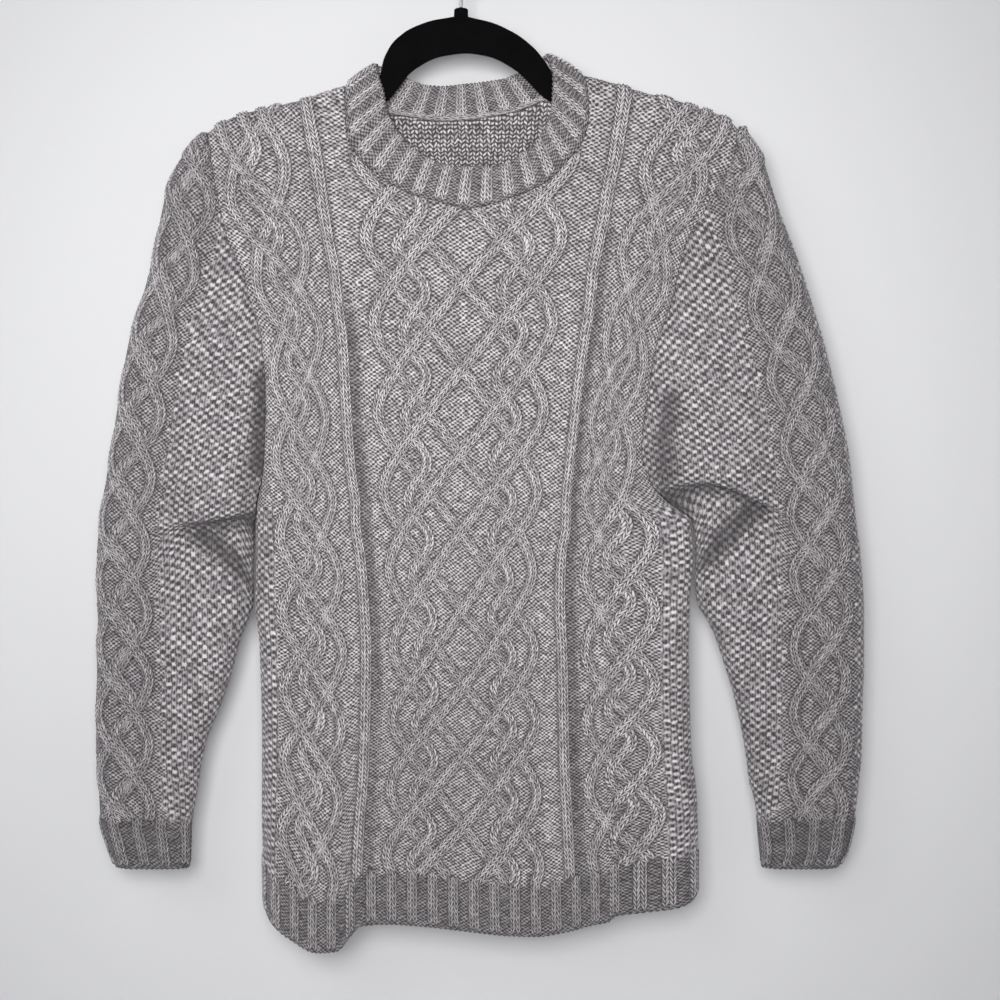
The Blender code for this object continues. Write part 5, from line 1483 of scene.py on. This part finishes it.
class Finish:
    """A material and the one method that adds nodes to it."""

    def __init__(self, name):
        old = bpy.data.materials.get(name)
        if old is not None:
            bpy.data.materials.remove(old)
        self.material = bpy.data.materials.new(name)
        self.material.use_nodes = True
        self.tree = self.material.node_tree
        self.tree.nodes.clear()
        self.place = self.node("TexCoord", None, 3)

    def node(self, kind, settings=None, output=0, *values, **inputs):
        """A node with its settings; values feed its sockets in order, inputs by name."""
        node = self.tree.nodes.new("ShaderNode" + kind)
        for key, value in (settings or {}).items():
            setattr(node, key, value)
        sockets = [s for s in node.inputs if s.enabled]
        pairs = list(zip(sockets, values))
        for key, value in inputs.items():
            wanted = key.replace("_", " ").lower()
            pairs.append((next(s for s in sockets if s.name.lower() == wanted), value))
        for socket, value in pairs:
            Value(self.tree, socket).feed(value)
        return Value(self.tree, node.outputs[output]) if node.outputs else None

    def noise(self, scale, detail=2.0, roughness=0.5, where=None):
        return self.node("TexNoise", None, 0, Vector=where or self.place, Scale=scale,
                         Detail=detail, Roughness=roughness)

    def blend(self, factor, one, two):
        one, two = [c if isinstance(c, Value) else (*c, 1.0) for c in (one, two)]
        return self.node("Mix", {"data_type": "RGBA"}, 2, Factor=factor, A=one, B=two)

    def bump(self, height, strength, distance, **under):
        return self.node("Bump", None, 0, Height=height, Strength=strength, Distance=distance,
                         **under)

    def between(self, value, low, high, **to):
        """The value's place between two bounds, from 0 to 1 or as told."""
        return self.node("MapRange", None, 0, Value=value, From_Min=low, From_Max=high, **to)

    def finish(self, shader):
        self.node("OutputMaterial", None, 0, Surface=shader)
        return self.material


def knit_face(u, v):
    """The right side of the knitting: legs of yarn that meet in points, one a row. Those
    that lean right stand further apart."""
    wave = (u * math.pi).sine()
    row = ((v * (2.0 * math.pi)).cosine() * 0.5 + 0.5) ** 0.8
    return abs(wave) ** 0.6 * (1.0 - (0.86 - wave * 0.08) * (1.0 - row))


def purl_face(u, v):
    """The wrong side: short bumps set like bricks, with gaps between them that are painted with shade."""
    brick = (u * (2.0 * math.pi)).cosine() * ((v - u * 0.1) * (2.0 * math.pi)).cosine()
    return (brick * 0.5 + 0.5) ** 0.9


def seed_face(u, v):
    """Seed stitch: single bumps, set over in the next row, and fine legs between them."""
    bump = ((u * math.pi).cosine() * (v * math.pi).cosine() * 0.5 + 0.5) ** 1.5
    return bump + (1.0 - bump) * (abs((u * (2.0 * math.pi)).sine()) * 0.36)


def yarn_finish(name, looks, knit):
    """Heather wool: mixed light and dark fibres, with painted shade in the gaps between its stitches and from the
    stitch marks.
    """
    finish = Finish(name)
    fibre = finish.noise(1150.0, 2.0, 0.6)
    along = finish.node("Mapping", None, 0, Vector=finish.place, Scale=(1.0, 1.0, 0.55))
    fleck = finish.noise(520.0, 2.0, 0.55, along)
    ply = finish.noise(210.0, 1.0)
    # The first stitch mark is painted shade: the share of the colour kept (called depth here).
    depth = finish.node("Attribute", {"attribute_name": "stitch_depth"}, 2)
    marks = finish.node("Attribute", {"attribute_name": "stitch_place"}, 1)
    stitch, row, kind = [finish.node("SeparateXYZ", None, k, Vector=marks) for k in range(3)]
    wander, drift, uneven = [finish.noise(scale, 1.0) - 0.5 for scale in (170.0, 120.0, 330.0)]
    if knit:
        face = knit_face(stitch + wander * 0.3, row + drift * 0.5) + uneven * 0.4
        gap, full, light_share = 0.16, 0.54, 0.6
    else:
        u, v = stitch + wander * 0.7, row + drift
        face = purl_face(u, v)
        face = face + (seed_face(u, v) - face) * kind.maths("MAXIMUM", kind, 0.0)
        face = face + (knit_face(u * 2.0, v) - face) * kind.maths("MAXIMUM", kind * -1.0, 0.0)
        face = face + uneven * 0.75
        gap, full, light_share = 0.28, 0.84, 0.63
    whole = finish.node("CombineXYZ", None, 0, round(stitch), round(row), 0.0)
    chance = finish.node("TexWhiteNoise", {"noise_dimensions": "3D"}, 0, Vector=whole)
    mix = fleck * 0.45 + fibre * 0.2 + ply * 0.1 + chance * 0.25
    mixed = finish.between(mix, 0.34, light_share)
    wool = finish.blend(mixed, looks.yarn_dark, looks.yarn_light)
    tinge = finish.between(finish.noise(11.0), 0.35, 0.65)
    wool = finish.blend(tinge * 0.22, wool, looks.yarn_tinge)
    # Painted shade: the gaps between the stitches and the stitch marks' painted shade darken the wool towards the gap
    # shade colour.
    open_share = finish.between(face, gap, full, To_Min=looks.crevice)
    deep = finish.blend(open_share * (depth * 0.92 + 0.08), looks.yarn_deep, wool)
    fuzz = finish.bump(fibre * 0.5 + fleck * 0.5, 0.5, 0.0006)
    shader = finish.node("BsdfPrincipled", None, 0, Base_Color=deep, Roughness=0.82 + fibre * 0.14,
                         Normal=finish.bump(face, 0.85, 0.0011, Normal=fuzz),
                         Sheen_Weight=0.2, Sheen_Roughness=0.45, Specular_IOR_Level=0.25)
    return finish.finish(shader)


def flock_finish(name, looks):
    """Short black nap over plastic, a little worn and dusty."""
    finish = Finish(name)
    nap = finish.noise(1800.0, 2.0, 0.7)
    base = finish.blend(finish.noise(60.0, 3.0, 0.6), looks.flock, (0.004, 0.004, 0.0045))
    shader = finish.node("BsdfPrincipled", None, 0, Base_Color=base, Roughness=0.85 + nap * 0.12,
                         Normal=finish.bump(nap, 0.5, 0.0004),
                         Sheen_Weight=0.02, Sheen_Roughness=0.4, Specular_IOR_Level=0.05)
    return finish.finish(shader)


def wire_finish(name, looks):
    """Bright plated wire with faint drawing marks."""
    finish = Finish(name)
    marks = finish.noise(320.0, 3.0, 0.6)
    base = finish.blend(marks, looks.wire, (0.50, 0.50, 0.51))
    shader = finish.node("BsdfPrincipled", None, 0, Base_Color=base, Roughness=0.2 + marks * 0.16,
                         Metallic=1.0, Normal=finish.bump(marks, 0.12, 0.0002))
    return finish.finish(shader)


def paint_finish(name, rgb, see_through_behind):
    """Matt paint for the room; the wall lets the camera see the object from behind."""
    finish = Finish(name)
    base = finish.blend(finish.noise(90.0, 3.0) * 0.06, rgb, [0.8 * share for share in rgb])
    shader = finish.node("BsdfPrincipled", None, 0, Base_Color=base, Roughness=0.9)
    if see_through_behind:
        behind = finish.node("NewGeometry", None, 6)
        shadow = finish.node("LightPath", None, 1)
        clear = finish.node("BsdfTransparent")
        factor = behind.maths("MAXIMUM", behind, shadow)
        shader = finish.node("MixShader", None, 0, factor, shader, clear)
    return finish.finish(shader)


# ---------------------------------------------------------------- sizes and colours

def length(name, description, default):
    """A size in millimetres."""
    return bpy.props.FloatProperty(name=name, description=description + ", mm", default=default,
                                   min=0.0, soft_max=20.0)


def tint(name, description, default):
    """A colour of the yarn, the hanger or the room."""
    return bpy.props.FloatVectorProperty(name=name, description="Colour " + description,
                                         default=default, subtype="COLOR", size=3, min=0.0, max=1.0)


class SWEATER_PG_sizes(bpy.types.PropertyGroup):
    """Heights of the knitted relief, in millimetres."""
    cable_rise: length("Cable rise", "Height of a cable strand over the cloth", 2.3)
    column_rise: length("Column rise", "Height of the twin knit columns", 1.9)
    rib_rise: length("Rib rise", "Height of the knit ribs", 1.5)
    strand_half: length("Strand half width", "Half the width of two knit stitches", 5.1)
    stitch_relief: length("Stitch relief", "How much single stitches stand out", 0.55)
    over_rise: length("Crossing over", "Extra height of the strand on top", 0.8)
    under_sink: length("Crossing under", "How far the strand below sinks", 1.4)


class SWEATER_PG_looks(bpy.types.PropertyGroup):
    """Colours of the yarn, the hanger and the room."""
    yarn_light: tint("Light fibres", "of the light fibres in the yarn", (0.82, 0.775, 0.79))
    yarn_dark: tint("Dark fibres", "of the dark fibres in the yarn", (0.34, 0.315, 0.327))
    yarn_tinge: tint("Tinge", "that comes and goes in the yarn", (0.52, 0.48, 0.49))
    # Painted shade: the colour of the gaps between the stitches, and the share of yarn colour left there.
    yarn_deep: tint("Between stitches", "deep between the stitches", (0.045, 0.041, 0.044))
    crevice: bpy.props.FloatProperty(name="Crevice", default=0.04, min=0.0, max=1.0,
                                     description="Share of yarn colour left in the hollows",
                                     subtype="FACTOR")
    flock: tint("Flock", "of the hanger's nap", (0.0015, 0.0015, 0.0017))
    wire: tint("Wire", "of the hook's plating", (0.68, 0.68, 0.69))
    wall: tint("Wall", "of the wall behind", (0.74, 0.74, 0.75))
    floor: tint("Floor", "of the floor", (0.78, 0.78, 0.79))


def shared(name, make, *words):
    """A material that several pieces use, made once."""
    found = bpy.data.materials.get(name)
    return found if found is not None else make(name, bpy.context.scene.sweater_looks, *words)


def yarn(knit):
    """The yarn of the knit strands, or of the cloth between them."""
    return shared("heather_knit" if knit else "heather_purl", yarn_finish, knit)


# ---------------------------------------------------------------- operators

def chart_area(outline):
    """Flat area inside a chart outline, in square metres."""
    x, y = outline.T
    return float(abs((x * np.roll(y, -1) - y * np.roll(x, -1)).sum()) / 2.0 * MM * MM)


def dress(piece, slot, node=None):
    """Say what a piece rides on, its slot, and the solid it stands for."""
    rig.ride(piece, "root")
    if node is not None:
        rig.replaces(piece, node)
    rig.slot(piece, slot)


def dress_cloth(cloth, strands, node, flat, area=None):
    """The same for a piece of cloth with its strands, and its cut."""
    dress(cloth, "grey_yarn", node)
    dress(strands, "grey_yarn")
    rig.sheet(cloth, flat=flat, held="hung", rests_on=["hanger_form"], area=area,
             with_pieces=[strands])


def knit_piece(node, form, sizes, flat):
    """Knit a panel or a sleeve with its cables and ribs."""
    cloth = knit_ground(node + "_knit", form, sizes, yarn(False))
    cables = knit_cables(node + "_cables", form, sizes, yarn(True))
    dress_cloth(cloth, cables, node, flat, chart_area(form.loop))


class SWEATER_OT_hanger(bpy.types.Operator):
    """Makes the flocked hanger and its wire hook"""
    bl_idname = "sweater.hanger"
    bl_label = "Hanger and hook"

    def execute(self, context):
        form = hanger_form("hanger_form", shared("black_flock_nap", flock_finish))
        dress(form, "black_flock", "hanger")
        wire = hook_wire("hook_wire", shared("plated_wire", wire_finish))
        dress(wire, "bright_wire", "hook")
        return {"FINISHED"}


class SWEATER_OT_body(bpy.types.Operator):
    """Knits the front and the back with their cables, columns and ribs"""
    bl_idname = "sweater.body"
    bl_label = "Front and back"

    def execute(self, context):
        flat = (2.0 * EDGE_STITCH * STITCH * MM, (HEM_DROP - TOP_DROP) * MM)
        for node, turn in (("front", -1), ("back", 1)):
            knit_piece(node, Panel(turn), context.scene.sweater_sizes, flat)
        return {"FINISHED"}


class SWEATER_OT_sleeves(bpy.types.Operator):
    """Knits both sleeves with their cables and cuffs"""
    bl_idname = "sweater.sleeves"
    bl_label = "Sleeves"

    def execute(self, context):
        for node, turn in (("sleeve_right", -1), ("sleeve_left", 1)):
            form = Sleeve(turn)
            flat = tuple(float(v) * MM for v in np.ptp(form.loop, axis=0))
            knit_piece(node, form, context.scene.sweater_sizes, flat)
        return {"FINISHED"}


class SWEATER_OT_neckband(bpy.types.Operator):
    """Knits the ribbed neckband"""
    bl_idname = "sweater.neckband"
    bl_label = "Neckband"

    def execute(self, context):
        sizes = context.scene.sweater_sizes
        band = neckband("neckband_knit", sizes, yarn(False))
        ribs = band_ribs("neckband_ribs", sizes, yarn(True))
        around = sum(NECK_RIBS.values()) * RIB_STITCHES * STITCH * MM
        dress_cloth(band, ribs, "neckband", (around, BAND_HIGH * MM))
        return {"FINISHED"}


# ---------------------------------------------------------------- the stage

# Each light: place, aim, width and height, power, and spread in degrees.
LIGHTS = {
    "key": ((-1.0, -1.8, 0.4), (0.0, 0.0, -0.4), (1.1, 1.1), 6.2, 180.0),
    "front": ((-0.1, -1.85, -0.3), (-0.02, 0.0, -0.36), (0.6, 0.6), 5.4, 70.0),
    "fill": ((1.7, -1.8, -0.1), (0.0, 0.0, -0.5), (1.4, 1.6), 3.3, 180.0),
    "rear_left": ((-1.3, 1.9, 0.3), (0.0, 0.0, -0.5), (1.3, 1.3), 16.0, 180.0),
    "rear_right": ((1.5, 1.7, 0.0), (0.0, 0.0, -0.5), (1.3, 1.3), 10.0, 180.0),
}
ROOM_REACH = 3.0        # metres, as all of the stage
WALL_PLACE = 0.06
WALL_TOP = 2.0
FLOOR_PLACE = -1.08
CAMERA_PLACE = (0.035, -1.7, -0.5128)
LENS = 36.0 * 1.7 / 0.9     # takes in 0.9 m at the object's distance


def area_light(name, place, aim, size, power, spread):
    light = bpy.data.lights.new(name, "AREA")
    light.shape = "RECTANGLE"
    light.spread = math.radians(spread)
    light.size, light.size_y = size
    light.energy = power
    thing = put(name, light)
    thing.location = place
    thing.rotation_euler = (Vector(aim) - Vector(place)).to_track_quat("-Z", "Y").to_euler()


def room_plane(name, corners, rgb, see_through_behind=False):
    mesh = bpy.data.meshes.new(name)
    mesh.from_pydata(corners, [], [(0, 1, 2, 3)])
    mesh.materials.append(paint_finish(name + "_paint", rgb, see_through_behind))
    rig.stage(put(name, mesh))


class SWEATER_OT_stage(bpy.types.Operator):
    """Sets the wall, floor, lights and camera"""
    bl_idname = "sweater.stage"
    bl_label = "Stage"

    def execute(self, context):
        scene = context.scene
        looks = scene.sweater_looks
        corners = ((-1, 0), (1, 0), (1, 1), (-1, 1))
        high = (FLOOR_PLACE, WALL_TOP)
        wall = [(ROOM_REACH * x, WALL_PLACE, high[far]) for x, far in corners]
        room_plane("wall", wall, looks.wall, True)
        floor = [(ROOM_REACH * x, ROOM_REACH * (2 * far - 1), FLOOR_PLACE) for x, far in corners]
        room_plane("floor", floor, looks.floor)
        for name, settings in LIGHTS.items():
            area_light(name, *settings)
        world = bpy.data.worlds.new("studio")
        world.use_nodes = True
        sky = world.node_tree.nodes["Background"].inputs
        sky["Color"].default_value = (0.93, 0.95, 1.0, 1.0)
        sky["Strength"].default_value = 0.18
        scene.world = world
        scene.view_settings.view_transform = "Standard"
        scene.view_settings.look = "None"
        lens = bpy.data.cameras.new("camera")
        lens.lens = LENS
        lens.clip_end = 50.0
        camera = put("camera", lens)
        camera.location = CAMERA_PLACE
        camera.rotation_euler = (QUARTER, 0.0, 0.0)
        scene.camera = camera
        return {"FINISHED"}


class SWEATER_PT_panel(bpy.types.Panel):
    """Sizes, colours and the steps that make the sweater"""
    bl_idname = "SWEATER_PT_panel"
    bl_label = "Cable knit sweater"
    bl_space_type = "VIEW_3D"
    bl_region_type = "UI"
    bl_category = "Sweater"

    def draw(self, context):
        layout = self.layout
        for group in (context.scene.sweater_sizes, context.scene.sweater_looks):
            box = layout.box()
            for name in group.__annotations__:
                box.prop(group, name)
        for maker in MAKERS:
            layout.operator(maker.bl_idname)


MAKERS = (SWEATER_OT_hanger, SWEATER_OT_body, SWEATER_OT_sleeves, SWEATER_OT_neckband,
          SWEATER_OT_stage)
CLASSES = (SWEATER_PG_sizes, SWEATER_PG_looks) + MAKERS + (SWEATER_PT_panel,)


def register():
    for kind in CLASSES:
        bpy.utils.register_class(kind)
    bpy.types.Scene.sweater_sizes = bpy.props.PointerProperty(type=SWEATER_PG_sizes)
    bpy.types.Scene.sweater_looks = bpy.props.PointerProperty(type=SWEATER_PG_looks)


def unregister():
    del bpy.types.Scene.sweater_looks
    del bpy.types.Scene.sweater_sizes
    for kind in reversed(CLASSES):
        bpy.utils.unregister_class(kind)


def main():
    register()
    bpy.ops.sweater.hanger()
    bpy.ops.sweater.body()
    bpy.ops.sweater.sleeves()
    bpy.ops.sweater.neckband()
    bpy.ops.sweater.stage()
    boxes = {"cad": [list(map(float, corner)) for corner in CAD_BOX],
             "visual": [list(map(float, corner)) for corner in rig.bounds()]}
    with open("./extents.json", "w") as out:
        json.dump(boxes, out)


if __name__ == "__main__":
    main()
